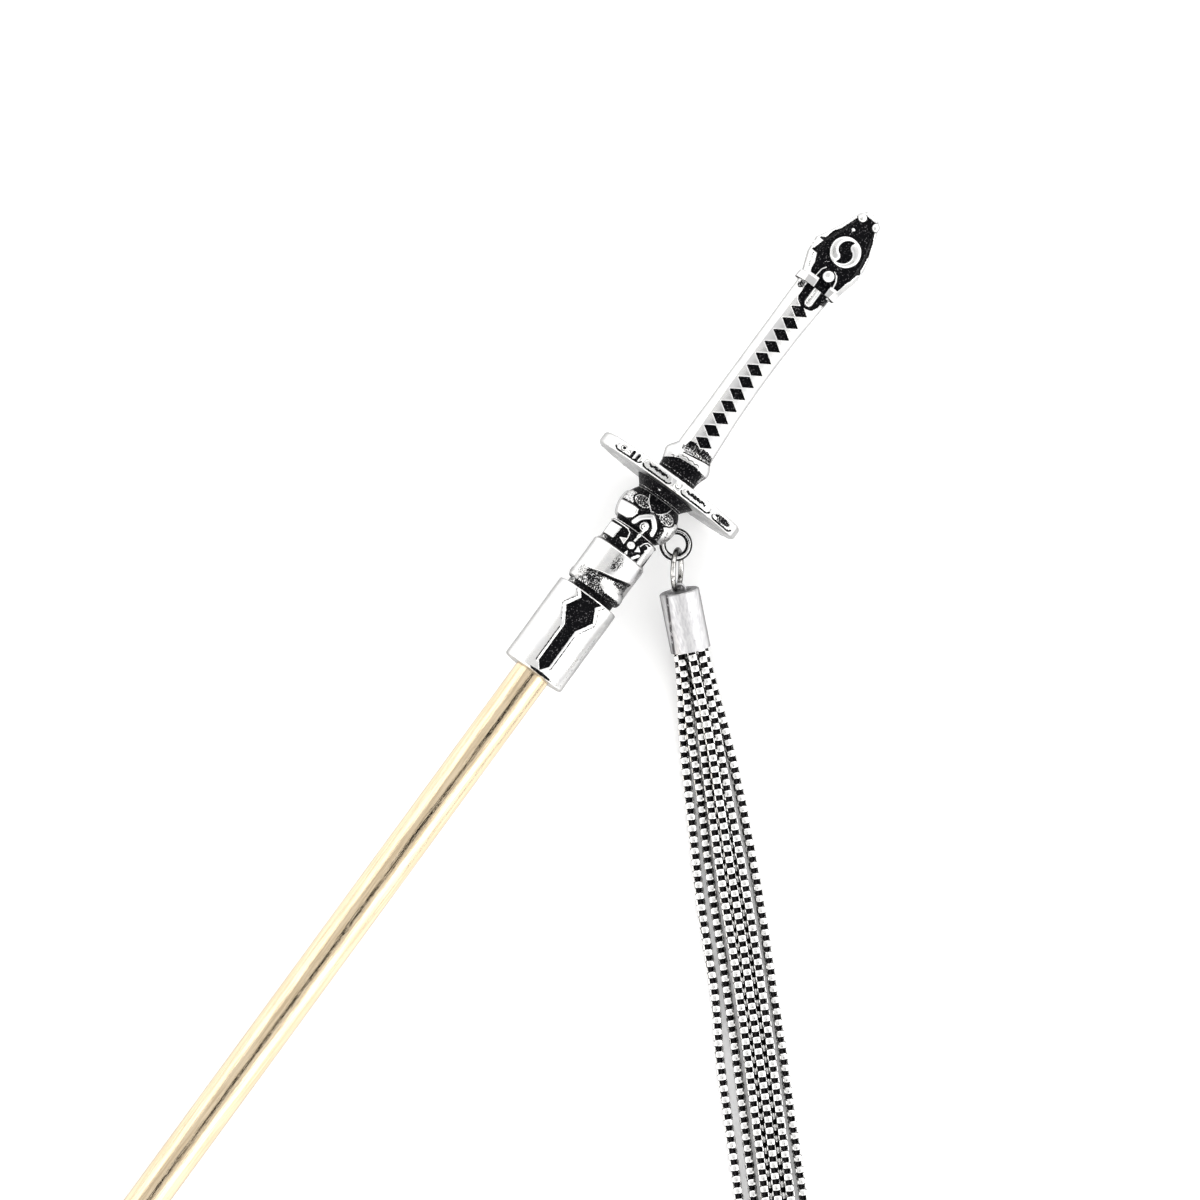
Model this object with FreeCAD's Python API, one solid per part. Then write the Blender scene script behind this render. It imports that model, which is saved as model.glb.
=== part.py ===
import FreeCAD, Part

import math
import os

from FreeCAD import Matrix, Rotation, Vector

# A hair stick whose head is a small sword handle with a guard, and a tassel of box chains.
# It lies on a flat surface, z = 0, on the guard's edge, the tip, the cap and the chains.
# The head is made in its own frame: +X runs along the stick towards the pommel, +Z faces up
# from the front of the handle, and x = 0 is the middle of the guard. All sizes are in mm.

# Stick
SHAFT_R = 2.0
SHAFT_TIP_X = -138.7
TIP_R = 0.8
TAPER_LENGTH = 34.0
TANG_R = 0.9
TANG_END_X = 12.0
SPIGOT_R = 1.7
BORE_GAP = 0.05

# Stations of the head, from the ferrule's mouth to the pommel's point
FERRULE_LOW_X = -24.23
FERRULE_BORE_END_X = -16.6
FERRULE_TOP_X = -14.34
THROAT_TOP_X = -8.69
COLLAR_TOP_X = -1.72
GUARD_LOW_X = -0.62
GUARD_TOP_X = 0.80
GRIP_LOW_X = 4.4
GRIP_TOP_X = 25.76
BAND_TOP_X = 26.6
POMMEL_TIP_X = 35.7

# Head radii and relief heights
FERRULE_R = 3.55
THROAT_R = 3.14
COLLAR_R = 3.25
BULB_LENGTH = 4.15
GUARD_HALF_WIDTH = 8.74
GUARD_HALF_DEPTH = 6.6
GUARD_ROUND = 0.38
RELIEF = 0.22
SUNK = 0.18
SWIRL_R = 1.72

# Tassel
LUG_X = -4.45
LUG_Y = -4.2
LUG_RING_R = 1.40
LUG_WIRE_R = 0.35
RING_WIRE_R = 0.27
RING_R = 2.12
RING_LUG_GAP = 0.12
RING_HEADING = -141.0
RING_DIP = 31.0
RING_LEAN = 13.0
CAP_R = 2.12
CAP_BORE_R = 1.85
CAP_LENGTH = 6.35
CAP_ROOF = 0.55
CAP_HEADING = -132.2
BAIL_WIRE_R = 0.17
BAIL_GAP = 0.05
CHAIN_R = 0.5
CHAIN_HEADING = -135.6

# How the head lies: rolled a little towards the tassel
ROLL = 11.0

AXIS = Vector(1, 0, 0)
FRONT = Vector(0, 0, 1)
ORIGIN = Vector(0, 0, 0)


def outline(points):
    """A closed wire through points. A pair is a corner. A triple is a corner that an arc
    reaches from the last one, and its third item is the point that the arc passes."""
    edges = []
    start = points[0][0]
    last = start
    for corner, *way in points[1:] + [points[0][:1]]:
        if way:
            edges.append(Part.Arc(last, way[0], corner).toShape())
        elif (corner - last).Length > 1e-9:
            edges.append(Part.LineSegment(last, corner).toShape())
        last = corner
    return Part.Wire(edges)


def turned(profile):
    """A solid of revolution about the stick's axis from (x, r) corners. Four numbers are
    (x, r, way_x, way_r), an arc that passes the second pair."""
    points = []
    for x, r, *way in profile:
        points.append([Vector(x, 0, r)] + ([Vector(way[0], 0, way[1])] if way else []))
    return Part.Face(outline(points)).revolve(ORIGIN, AXIS, 360)


def tube_along(x0, x1, r):
    return Part.makeCylinder(r, x1 - x0, Vector(x0, 0, 0), AXIS)


def bored(solid, x0, x1):
    """Opens the bore that the tang runs through."""
    return solid.cut(tube_along(x0 - 1, x1 + 1, TANG_R + BORE_GAP))


def prism(points, z0=0.0, z1=9.0):
    """Stands an outline in the plane of the front up, from z0 to z1."""
    face = Part.Face(outline(points))
    face.translate(Vector(0, 0, z0))
    return face.extrude(FRONT * (z1 - z0))


def on_plan(pairs):
    return [[Vector(x, y, 0)] for x, y in pairs]


def slot_plan(x, y, half_x, half_y):
    """The outline of a slot that is long across the stick, with round ends."""
    reach = half_y - half_x
    return [
        [Vector(x - half_x, y - reach, 0)],
        [Vector(x + half_x, y - reach, 0), Vector(x, y - half_y, 0)],
        [Vector(x + half_x, y + reach, 0)],
        [Vector(x - half_x, y + reach, 0), Vector(x, y + half_y, 0)],
    ]


def back_too(tool):
    """Adds the same tool on the back of the head."""
    other = tool.copy()
    other.rotate(ORIGIN, AXIS, 180)
    return [tool, other]


def arch_plan(x, y, r, width, start, end):
    """A flat bar bent round (x, y) from one angle to another, with square ends."""
    def at(radius, angle):
        a = math.radians(angle)
        return Vector(x + radius * math.cos(a), y + radius * math.sin(a), 0)

    outer, inner, middle = r + width / 2, r - width / 2, (start + end) / 2
    return [[at(outer, start)], [at(outer, end), at(outer, middle)], [at(inner, end)],
            [at(inner, start), at(inner, middle)]]


def oval_wire(x, half_width, half_depth, flat, shift):
    """A section of the handle: flat at the front and back, round at the sides."""
    def at(y, z):
        return Vector(x, shift + y, z)

    return outline([
        [at(-flat, half_depth)],
        [at(flat, half_depth)],
        [at(flat, -half_depth), at(half_width, 0)],
        [at(-flat, -half_depth)],
        [at(-flat, half_depth), at(-half_width, 0)],
    ])


def facet_wire(x, half_width, half_depth, face, shift):
    """A section of the pommel: eight flats, with a broad one at the front and back."""
    edge = half_depth * 0.35
    corners = [(-face, half_depth), (face, half_depth), (half_width, edge), (half_width, -edge),
               (face, -half_depth), (-face, -half_depth), (-half_width, -edge), (-half_width, edge)]
    return Part.makePolygon([Vector(x, shift + y, z) for y, z in corners + corners[:1]])


def make_shaft():
    taper_x = SHAFT_TIP_X + TAPER_LENGTH
    round_x = SHAFT_TIP_X + TIP_R
    nick = TIP_R * math.sqrt(0.5)
    return turned([
        (SHAFT_TIP_X, 0),
        (round_x, TIP_R, round_x - nick, nick),
        (taper_x, SHAFT_R),
        (FERRULE_LOW_X, SHAFT_R),
        (FERRULE_LOW_X, SPIGOT_R),
        (FERRULE_BORE_END_X, SPIGOT_R),
        (FERRULE_BORE_END_X, TANG_R),
        (TANG_END_X, TANG_R),
        (TANG_END_X, 0),
    ])


def make_ferrule():
    """A turned sleeve with a keyhole figure sunk in its front and back."""
    low, top, r = FERRULE_LOW_X, FERRULE_TOP_X, FERRULE_R
    edge = 0.3
    corner = edge * (1 - math.sqrt(0.5))
    body = turned([
        (low, SPIGOT_R + BORE_GAP),
        (low, r - edge),
        (low + edge, r, low + corner, r - corner),
        (top - 0.15, r),
        (top, r - 0.15),
        (top, TANG_R + BORE_GAP),
        (FERRULE_BORE_END_X, TANG_R + BORE_GAP),
        (FERRULE_BORE_END_X, SPIGOT_R + BORE_GAP),
    ])
    # distance below the top, half width
    figure = [(-0.2, 1.50), (0.72, 0.84), (2.20, 1.68), (4.00, 0.63), (8.30, 0.63), (9.20, 0.0)]
    right = [(top - down, half) for down, half in figure]
    left = [(x, -half) for x, half in reversed(right[:-1])]
    tool = prism(on_plan(right + left)).cut(tube_along(low - 1, top + 1, r - SUNK))
    for cutter in back_too(tool):
        body = body.cut(cutter)
    return body


def make_throat():
    """A wrapped throat: a neck, a round swelling and a band with a slanting lower edge."""
    low, top = FERRULE_TOP_X, THROAT_TOP_X
    neck_r, groove = 2.72, 0.60
    body = tube_along(low, top, neck_r)
    middle = low + 1.55
    swelling = turned([
        (low + groove, neck_r - 0.3),
        (low + groove, neck_r + 0.15),
        (low + 2.6, neck_r, middle, THROAT_R + 0.22),
        (low + 2.6, neck_r - 0.3),
    ])
    swelling.translate(Vector(0, -0.18, 0))
    wrap = turned([
        (low + groove + 0.1, neck_r - 0.3),
        (low + groove + 0.1, THROAT_R),
        (top - 0.15, THROAT_R, (low + top) / 2, THROAT_R + 0.06),
        (top, THROAT_R - 0.15),
        (top, neck_r - 0.3),
    ])
    # The band's lower edge runs down from the tassel's side to the other
    slant = Part.makeBox(8, 12, 12, Vector(-8, -6, -6))
    slant.rotate(ORIGIN, FRONT, -20)
    slant.translate(Vector(low + 3.15, -0.9, 0))
    side = Part.makeBox(8, 6, 12, Vector(low - 1, 0.75, -6))
    wrap = wrap.cut(slant.cut(side))
    return bored(body.fuse(swelling).fuse(wrap), low, top).removeSplitter()


def bulb_profile(extra=0.0):
    """Corners of the collar's upper bulb, grown by extra."""
    low, top = COLLAR_TOP_X - BULB_LENGTH, COLLAR_TOP_X
    return [
        (low, 0),
        (low, 2.5 + extra),
        (top, 2.45 + extra, (low + top) / 2 - 0.15, COLLAR_R + extra),
        (top, 0),
    ]


def relief_on(grown, plans, floor=0.8):
    """Raised figures: outlines stood up from the front and back, cut off at a grown surface."""
    stood = [prism(plan, floor) for plan in plans]
    together = stood[0].fuse(stood[1:]) if len(stood) > 1 else stood[0]
    return back_too(together.common(grown))


def leaf_plan(x, y, length, width, turn):
    """A pointed leaf from two arcs, its middle at (x, y), turned from +X."""
    def at(along, side):
        a = math.radians(turn)
        cos, sin = math.cos(a), math.sin(a)
        return Vector(x + along * cos - side * sin, y + along * sin + side * cos, 0)

    half = length / 2
    return [[at(-half, 0)], [at(half, 0), at(0, width / 2)], [at(-half, 0), at(0, -width / 2)]]


def make_collar():
    """A cast collar: a bulb with scrolls over a short sleeve, and the lug for the tassel."""
    low, top = THROAT_TOP_X, COLLAR_TOP_X
    bulb_low = top - BULB_LENGTH
    groove_low = bulb_low - 0.25
    sleeve_r = 2.78
    core_r = 2.3
    body = turned(bulb_profile())
    body = body.fuse([tube_along(low, groove_low, sleeve_r), tube_along(low, top, core_r)])
    lobe_x = bulb_low + 0.30
    arch_x = bulb_low + 0.75
    beyond = 4.0
    on_bulb = [
        # smooth lobes at both sides, seen from the front
        on_plan([(lobe_x, 1.60), (lobe_x + 1.70, 1.45), (lobe_x + 1.80, beyond), (lobe_x, beyond)]),
        on_plan([(lobe_x, -1.70), (lobe_x + 1.30, -1.40), (lobe_x + 1.45, -beyond), (lobe_x, -beyond)]),
        # an arch with a hook under it
        arch_plan(arch_x, 0, 1.10, 0.36, -80, 80),
        arch_plan(arch_x + 0.1, 0, 0.46, 0.28, -70, 150),
        # two leaves over the arch
        leaf_plan(bulb_low + 2.75, -1.45, 1.9, 0.95, -62),
        leaf_plan(bulb_low + 2.85, 1.45, 1.9, 0.95, 62),
    ]
    bead_x, bead_y = low + 1.25, -0.05
    block_low, block_top = low + 0.75, groove_low - 0.12
    on_sleeve = [
        # a diamond under the bead, a block and two leaves
        on_plan([(bead_x - 0.6, bead_y), (bead_x, bead_y - 1), (bead_x + 0.6, bead_y), (bead_x, bead_y + 1)]),
        on_plan([(block_low, 1.55), (block_top, 1.45), (block_top, beyond), (block_low, beyond)]),
        leaf_plan(low + 1.25, -1.75, 2.1, 0.62, 12),
        leaf_plan(low + 1.20, -2.35, 2.1, 0.50, 0),
    ]
    reliefs = relief_on(turned(bulb_profile(RELIEF)), on_bulb)
    reliefs += relief_on(tube_along(low + 0.05, groove_low - 0.05, sleeve_r + RELIEF), on_sleeve)
    body = body.fuse(reliefs)
    beads = back_too(Part.makeSphere(0.42, Vector(bead_x, bead_y, sleeve_r + 0.12)))
    lug = Part.makeTorus(LUG_RING_R, LUG_WIRE_R, Vector(LUG_X, LUG_Y, 0), FRONT)
    return bored(body.fuse(beads + [lug]), low, top)


def make_washer():
    """The dark cone between the collar and the guard."""
    low, top = COLLAR_TOP_X, GUARD_LOW_X
    bore_r = TANG_R + BORE_GAP
    return turned([(low, bore_r), (low, 2.62), (low + 0.18, 2.72), (top, 3.5), (top, bore_r)])


def oval_disc(x0, x1, half_width, half_depth):
    ellipse = Part.Ellipse(ORIGIN, half_width, half_depth).toShape()
    face = Part.Face(Part.Wire([ellipse]))
    # The long way goes across the stick, and the disc stands square to it
    face.rotate(ORIGIN, FRONT, 90)
    face.rotate(ORIGIN, Vector(0, 1, 0), 90)
    face.translate(Vector(x0, 0, 0))
    return face.extrude(AXIS * (x1 - x0))


def make_guard():
    """An oval guard with a full round rim and sunk panels round its edge."""
    low, top = GUARD_LOW_X, GUARD_TOP_X
    middle = (low + top) / 2
    panel_half, bead_r = 0.36, 0.3
    disc = oval_disc(low, top, GUARD_HALF_WIDTH, GUARD_HALF_DEPTH)
    rims = [edge for edge in disc.Edges if edge.Length > 2 * GUARD_HALF_WIDTH]
    disc = disc.makeFillet(GUARD_ROUND, rims)
    keep = oval_disc(low - 1, top + 1, GUARD_HALF_WIDTH - SUNK, GUARD_HALF_DEPTH - SUNK)
    # middle of each panel across the stick, half its length
    for across, half in ((-6.25, 1.40), (-2.50, 1.90), (2.50, 1.70), (5.95, 1.45)):
        panel = prism(slot_plan(middle, across, panel_half, half)).cut(keep)
        for cutter in back_too(panel):
            disc = disc.cut(cutter)
    bead = Part.makeSphere(bead_r, Vector(middle, 0, GUARD_HALF_DEPTH - 0.08))
    return bored(disc.fuse(bead), low, top)


def lofted(wires, ruled=False):
    return Part.makeLoft(wires, True, ruled)


def make_grip_collar():
    """The swelling collar at the foot of the grip."""
    # x, half width, half depth, shift across
    sections = [
        (GUARD_TOP_X, 2.20, 1.85, 0.0),
        (1.90, 2.32, 1.95, 0.0),
        (3.20, 2.72, 2.25, 0.0),
        (GRIP_LOW_X, 2.14, 1.72, -0.08),
    ]
    body = lofted([oval_wire(x, width, depth, 1.15, shift) for x, width, depth, shift in sections])
    return bored(body, GUARD_TOP_X, GRIP_LOW_X)


# x, shift across: the grip bends a little towards the tassel at both ends
GRIP_BEND = ((GRIP_LOW_X, -0.08), (15.0, 0.14), (GRIP_TOP_X, -0.10))
GRIP_HALF_DEPTH = 1.55
GRIP_FLAT = 1.2


def grip_shift(x):
    """How far the grip's middle lies across the stick, a parabola through GRIP_BEND."""
    (x0, y0), (x1, y1), (x2, y2) = GRIP_BEND
    return (
        y0 * (x - x1) * (x - x2) / ((x0 - x1) * (x0 - x2))
        + y1 * (x - x0) * (x - x2) / ((x1 - x0) * (x1 - x2))
        + y2 * (x - x0) * (x - x1) / ((x2 - x0) * (x2 - x1))
    )


def make_grip():
    """The grip: a waisted bar with sunk diamonds down its flat front and back."""
    widths = (2.08, 1.82, 2.04)
    body = lofted([
        oval_wire(x, width, GRIP_HALF_DEPTH, GRIP_FLAT, shift)
        for (x, shift), width in zip(GRIP_BEND, widths)
    ])
    first_x, pitch, count = 5.74, 1.551, 12
    half_x, half_y, deep = 0.655, 0.98, 0.25
    tools = []
    for i in range(count):
        x = first_x + i * pitch
        y = grip_shift(x)
        corners = [(x - half_x, y), (x, y - half_y), (x + half_x, y), (x, y + half_y)]
        tools.append(prism(on_plan(corners), GRIP_HALF_DEPTH - deep))
    # A sunk field under the pommel, with a bar left standing down its middle
    field_x, bar = first_x + (count - 0.5) * pitch + 0.15, 0.55
    y = grip_shift(field_x)
    for side in (-1, 1):
        tools.append(prism(on_plan([
            (field_x, y + side * bar), (GRIP_TOP_X + 1, y + side * bar),
            (GRIP_TOP_X + 1, y + side * 1.17), (field_x, y + side * 1.17),
        ]), GRIP_HALF_DEPTH - deep))
    for tool in tools:
        for cutter in (tool, tool.mirror(ORIGIN, FRONT)):
            body = body.cut(cutter)
    return body.cut(tube_along(GRIP_LOW_X - 1, TANG_END_X, TANG_R + BORE_GAP))


def comma(x, y, start):
    """One comma of the swirl: a round head that thins to a point round a quarter circle."""
    def at(radius, angle):
        a = math.radians(start + angle)
        return Vector(x + radius * math.cos(a), y + radius * math.sin(a), 0)

    outer, head, sweep = SWIRL_R, 1.15, 165
    return [
        [at(outer, sweep)],
        [at(outer, 0), at(outer, sweep / 2)],
        [at(outer - head, 0), at(outer - head / 2, -22)],
        [at(outer, sweep), at(outer - 0.42, sweep * 0.5)],
    ]


def make_pommel():
    """The pommel: a band, and a pointed cap whose front is a sunk field with raised figures."""
    # x, half width, half depth, half width of the front flat, shift across
    sections = [
        (BAND_TOP_X, 2.30, 1.85, 1.75, -0.25),
        (28.7, 2.98, 2.10, 2.30, -0.15),
        (30.4, 3.05, 2.10, 2.35, -0.10),
        (31.6, 2.58, 1.95, 1.90, -0.30),
        (33.1, 1.96, 1.65, 1.40, -0.42),
        (34.4, 1.54, 1.32, 1.06, -0.48),
        (35.2, 1.16, 1.00, 0.78, -0.50),
        (35.55, 0.80, 0.74, 0.50, -0.50),
        (POMMEL_TIP_X, 0.42, 0.45, 0.22, -0.50),
    ]

    def grown(extra):
        """The whole pointed cap, with its front and back moved out by extra."""
        return lofted([facet_wire(x, w, d + extra, face, shift) for x, w, d, face, shift in sections], True)

    body = grown(0)
    band = lofted([oval_wire(x, 2.44, 1.95, 1.3, -0.10) for x in (GRIP_TOP_X, BAND_TOP_X)], True)
    # The band leaves a gap at the middle of the front for the grip's bar and its arch
    band = band.cut(prism(on_plan([
        (GRIP_TOP_X - 1, -0.75), (BAND_TOP_X + 1, -0.75), (BAND_TOP_X + 1, 0.55), (GRIP_TOP_X - 1, 0.55),
    ]), 1.55))
    body = body.fuse(band)
    # The front field stays a little inside the flat and clear of the band
    inset, clear, inner = 0.14, 0.35, 0.2
    field_low = BAND_TOP_X + clear
    edges = [(max(x, field_low), shift, face - inset) for x, w, d, face, shift in sections[:6]]
    right = [(x, shift + half) for x, shift, half in edges]
    left = [(x, shift - half) for x, shift, half in reversed(edges)]
    field = prism(on_plan(right + left), inner)
    body = body.cut(field.cut(grown(-SUNK)))
    raised = grown(0.06)
    centre_x, centre_y = 30.66, -0.26
    figures = [prism(comma(centre_x, centre_y, turn), inner) for turn in (20, 200)]
    figures.append(prism(arch_plan(27.55, -0.33, 0.88, 0.22, 95, 265), inner))
    for figure in figures:
        body = body.fuse(figure.common(raised))
    # x, across, radius, height of the middle
    beads = [
        (27.55, -0.33, 0.63, 1.62),
        (34.72, 0.33, 0.47, 1.00),
        (34.72, -1.47, 0.47, 1.00),
    ]
    for x, y, r, z in beads:
        body = body.fuse(Part.makeSphere(r, Vector(x, y, z)))
    # Knops on both edges at the widest part
    knop_x, knop_r = 29.6, 0.42
    for y in (2.86, -3.16):
        body = body.fuse(Part.makeSphere(knop_r, Vector(knop_x, y, 0)))
    return body


def heading(angle, dip=0.0):
    """A unit vector that heads along the surface at an angle from +X, and dips below it."""
    a, d = math.radians(angle), math.radians(dip)
    return Vector(math.cos(a) * math.cos(d), math.sin(a) * math.cos(d), -math.sin(d))


def resting_tilt():
    """The angle that brings the guard's edge and the tip down to one surface."""
    roll = math.radians(ROLL)
    reach = math.hypot(GUARD_HALF_DEPTH * math.cos(roll), GUARD_HALF_WIDTH * math.sin(roll))
    run = GUARD_LOW_X + GUARD_ROUND - (SHAFT_TIP_X + TIP_R)
    return reach, math.degrees(math.asin((reach - TIP_R) / run))


HEAD_HEIGHT, TILT = resting_tilt()


def laid(shape):
    """Takes a piece from the head's frame to where it lies: rolled, tilted and raised."""
    shape.rotate(ORIGIN, AXIS, ROLL)
    shape.rotate(ORIGIN, Vector(0, 1, 0), -TILT)
    shape.translate(Vector(0, 0, HEAD_HEIGHT))
    return shape


def laid_point(point):
    rolled = Rotation(AXIS, ROLL).multVec(point)
    return Rotation(Vector(0, 1, 0), -TILT).multVec(rolled) + Vector(0, 0, HEAD_HEIGHT)


# The tassel's line: from the lug's wire through the ring to the bail, and down the cap
RING_OUT = heading(RING_HEADING, RING_DIP)


def lug_wire_point():
    """The middle of the lug's wire where the ring hangs on it."""
    centre = laid_point(Vector(LUG_X, LUG_Y, 0))
    return centre + heading(RING_HEADING) * LUG_RING_R


def ring_centre():
    inner = RING_R - RING_WIRE_R
    return lug_wire_point() + RING_OUT * (inner - LUG_WIRE_R - RING_LUG_GAP)


def bail_point():
    """The middle of the bail's wire, a hair inside the ring's far end."""
    return ring_centre() + RING_OUT * (RING_R - RING_WIRE_R - BAIL_WIRE_R - BAIL_GAP)


# Height of the bail's arch over the cap's roof, which the ring dips into by RING_SINK
RING_SINK = 0.10
BAIL_RISE = 2 * (RING_WIRE_R + BAIL_GAP) - RING_SINK + BAIL_WIRE_R


def cap_dip():
    """The cap's slope, at which its mouth rests on the surface."""
    dip = 15.0
    for _ in range(30):
        d = math.radians(dip)
        mouth_height = CAP_R * math.cos(d)
        top_height = bail_point().z - BAIL_RISE * math.sin(d)
        dip = math.degrees(math.asin((top_height - mouth_height) / CAP_LENGTH))
    return dip


CAP_DIP = cap_dip()
CAP_OUT = heading(CAP_HEADING, CAP_DIP)
CAP_TOP = bail_point() + CAP_OUT * BAIL_RISE
CAP_MOUTH = CAP_TOP + CAP_OUT * CAP_LENGTH
CAP_SIDE = Vector(-CAP_OUT.y, CAP_OUT.x, 0).normalize()
CAP_UP = CAP_SIDE.cross(CAP_OUT) * -1


def make_ring():
    side = Vector(-RING_OUT.y, RING_OUT.x, 0).normalize()
    ring = Part.makeTorus(RING_R, RING_WIRE_R, ring_centre(), side)
    ring.rotate(ring_centre(), RING_OUT, RING_LEAN)
    return ring


def make_cap():
    """A drawn cap with a bail on its roof, in a shallow dish that the ring dips into."""
    dish_r, dish = 1.25, 0.22
    edge, play, rooted = 0.12, 0.22, 0.15
    points = [
        (dish, 0), (dish, dish_r), (0, dish_r), (0, CAP_R - edge), (edge, CAP_R), (CAP_LENGTH, CAP_R),
        (CAP_LENGTH, CAP_BORE_R), (CAP_ROOF, CAP_BORE_R), (CAP_ROOF, 0),
    ]
    cap = turned(points)
    arch_r = RING_WIRE_R + play + BAIL_WIRE_R
    foot = BAIL_RISE - arch_r
    arch = Part.makeTorus(arch_r, BAIL_WIRE_R, Vector(-foot, 0, 0), FRONT)
    arch = arch.common(Part.makeBox(2, 2, 2, Vector(-foot - 2, -1, -1)))
    cap = cap.fuse(arch)
    for y in (-arch_r, arch_r):
        cap = cap.fuse(Part.makeCylinder(BAIL_WIRE_R, foot + dish + rooted, Vector(-foot, y, 0), AXIS))
    place = Matrix(
        CAP_OUT.x, CAP_SIDE.x, CAP_UP.x, CAP_TOP.x,
        CAP_OUT.y, CAP_SIDE.y, CAP_UP.y, CAP_TOP.y,
        CAP_OUT.z, CAP_SIDE.z, CAP_UP.z, CAP_TOP.z,
        0, 0, 0, 1,
    )
    return cap.transformed(place)


# Chains
# How far along the surface from the cap's mouth each column of CHAINS stands
STATIONS = (9.0, 15.5, 20.0, 26.0, 32.0, 37.5, 42.5, 49.0, 57.0, 64.5)
# seat is an angle in the cap, or None in its middle. bend is mm from the mouth to the first bend,
# and end is mm added to the last station. across is mm to the side at each station, and lift is
# mm above lying on the surface there.
CHAINS = [
    dict(seat=194.5, bend=0.9, end=0.4,
         across=(-2.15, -2.40, -2.58, -2.85, -2.78, -2.76, -3.27, -3.29, -3.36, -3.50),
         lift=(0, 0, 0, 0, 0, 0, 0, 0, 0, 0)),
    dict(seat=145.0, bend=1.3, end=-0.5,
         across=(-1.30, -1.15, -1.36, -1.47, -1.37, -1.44, -1.50, -1.63, -1.83, -2.06),
         lift=(0.85, 0, 0, 0, 0, 0, 0, 0, 0, 0)),
    dict(seat=None, bend=0.9, end=0.1,
         across=(-0.12, -0.24, -0.32, -0.34, -0.24, -0.26, -0.32, -0.45, -0.62, -0.82),
         lift=(1.15, 1.0, 1.0, 0.9, 0.9, 0.9, 0.9, 0.9, 0.9, 0.9)),
    dict(seat=92.0, bend=1.5, end=0.6,
         across=(0.60, 0.66, 0.74, 0.83, 0.96, 0.89, 0.86, 0.85, 0.62, 0.36),
         lift=(2.20, 1.65, 1.1, 0.9, 0.9, 0.9, 0.9, 0.9, 0.9, 0.9)),
    dict(seat=39.0, bend=1.2, end=-0.2,
         across=(1.40, 1.58, 1.84, 2.02, 2.16, 2.14, 2.15, 2.11, 2.00, 1.84),
         lift=(1.25, 1.05, 1.0, 0.9, 0.9, 0.9, 0.9, 0.9, 0.9, 0.9)),
    dict(seat=-11.0, bend=0.9, end=0.3,
         across=(2.35, 2.90, 3.06, 3.30, 3.36, 3.31, 3.38, 3.28, 3.30, 3.22),
         lift=(0.35, 0, 0, 0, 0, 0, 0, 0, 0, 0)),
    dict(seat=244.5, bend=0.3, end=-0.4,
         across=(-0.10, 0.18, 0.23, 0.25, 0.36, 0.31, 0.27, 0.20, 0.00, -0.24),
         lift=(0, 0, 0, 0, 0, 0, 0, 0, 0, 0)),
    dict(seat=295.5, bend=0.3, end=0.2,
         across=(0.96, 1.25, 1.32, 1.42, 1.56, 1.52, 1.50, 1.48, 1.31, 1.09),
         lift=(0, 0, 0, 0, 0, 0, 0, 0, 0, 0)),
]
SEAT_R = 1.27
CHAIN_START = 1.75


def chain_points(chain):
    """The corners of one chain's way: down the cap, out of its mouth and along the surface."""
    if chain["seat"] is None:
        seat = Vector(0, 0, 0)
    else:
        a = math.radians(chain["seat"])
        seat = CAP_SIDE * (SEAT_R * math.cos(a)) + CAP_UP * (SEAT_R * math.sin(a))
    points = [CAP_TOP + CAP_OUT * CHAIN_START + seat, CAP_MOUTH + CAP_OUT * chain["bend"] + seat]
    along, foot = heading(CHAIN_HEADING), Vector(CAP_MOUTH.x, CAP_MOUTH.y, 0)
    sideways = Vector(-along.y, along.x, 0)
    last = STATIONS[-1]
    for station, across, lift in zip(STATIONS, chain["across"], chain["lift"]):
        reach = station + (chain["end"] if station == last else 0)
        points.append(foot + along * reach + sideways * across + Vector(0, 0, CHAIN_R + lift))
    return points


def soft_path(points):
    """Straight runs joined by tangent arcs, each as large as its two runs allow."""
    share, straight = 0.45, math.radians(0.02)
    edges, radii, last = [], [], points[0]
    for before, corner, after in zip(points, points[1:], points[2:]):
        into, out = corner - before, after - corner
        turn = into.getAngle(out)
        if turn < straight:
            raise ValueError("three points of a chain are in line")
        cut = share * min(into.Length, out.Length)
        into.normalize()
        out.normalize()
        start, end = corner - into * cut, corner + out * cut
        bisector = (out - into).normalize()
        radius = cut / math.tan(turn / 2)
        middle = corner + bisector * (radius / math.cos(turn / 2) - radius)
        edges.append(Part.LineSegment(last, start).toShape())
        edges.append(Part.Arc(start, middle, end).toShape())
        radii.append(radius)
        last = end
    edges.append(Part.LineSegment(last, points[-1]).toShape())
    return Part.Wire(edges), radii


def make_chain(chain):
    points = chain_points(chain)
    path, radii = soft_path(points)
    section = Part.Wire([Part.Circle(points[0], points[1] - points[0], CHAIN_R).toShape()])
    tube = path.makePipeShell([section], True, True)
    ideal = path.Length * math.pi * CHAIN_R**2
    print(f"chain: length {path.Length:.1f}, volume over section x length {tube.Volume / ideal:.4f},",
          f"least radius {min(radii):.1f}")
    return tube


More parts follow.
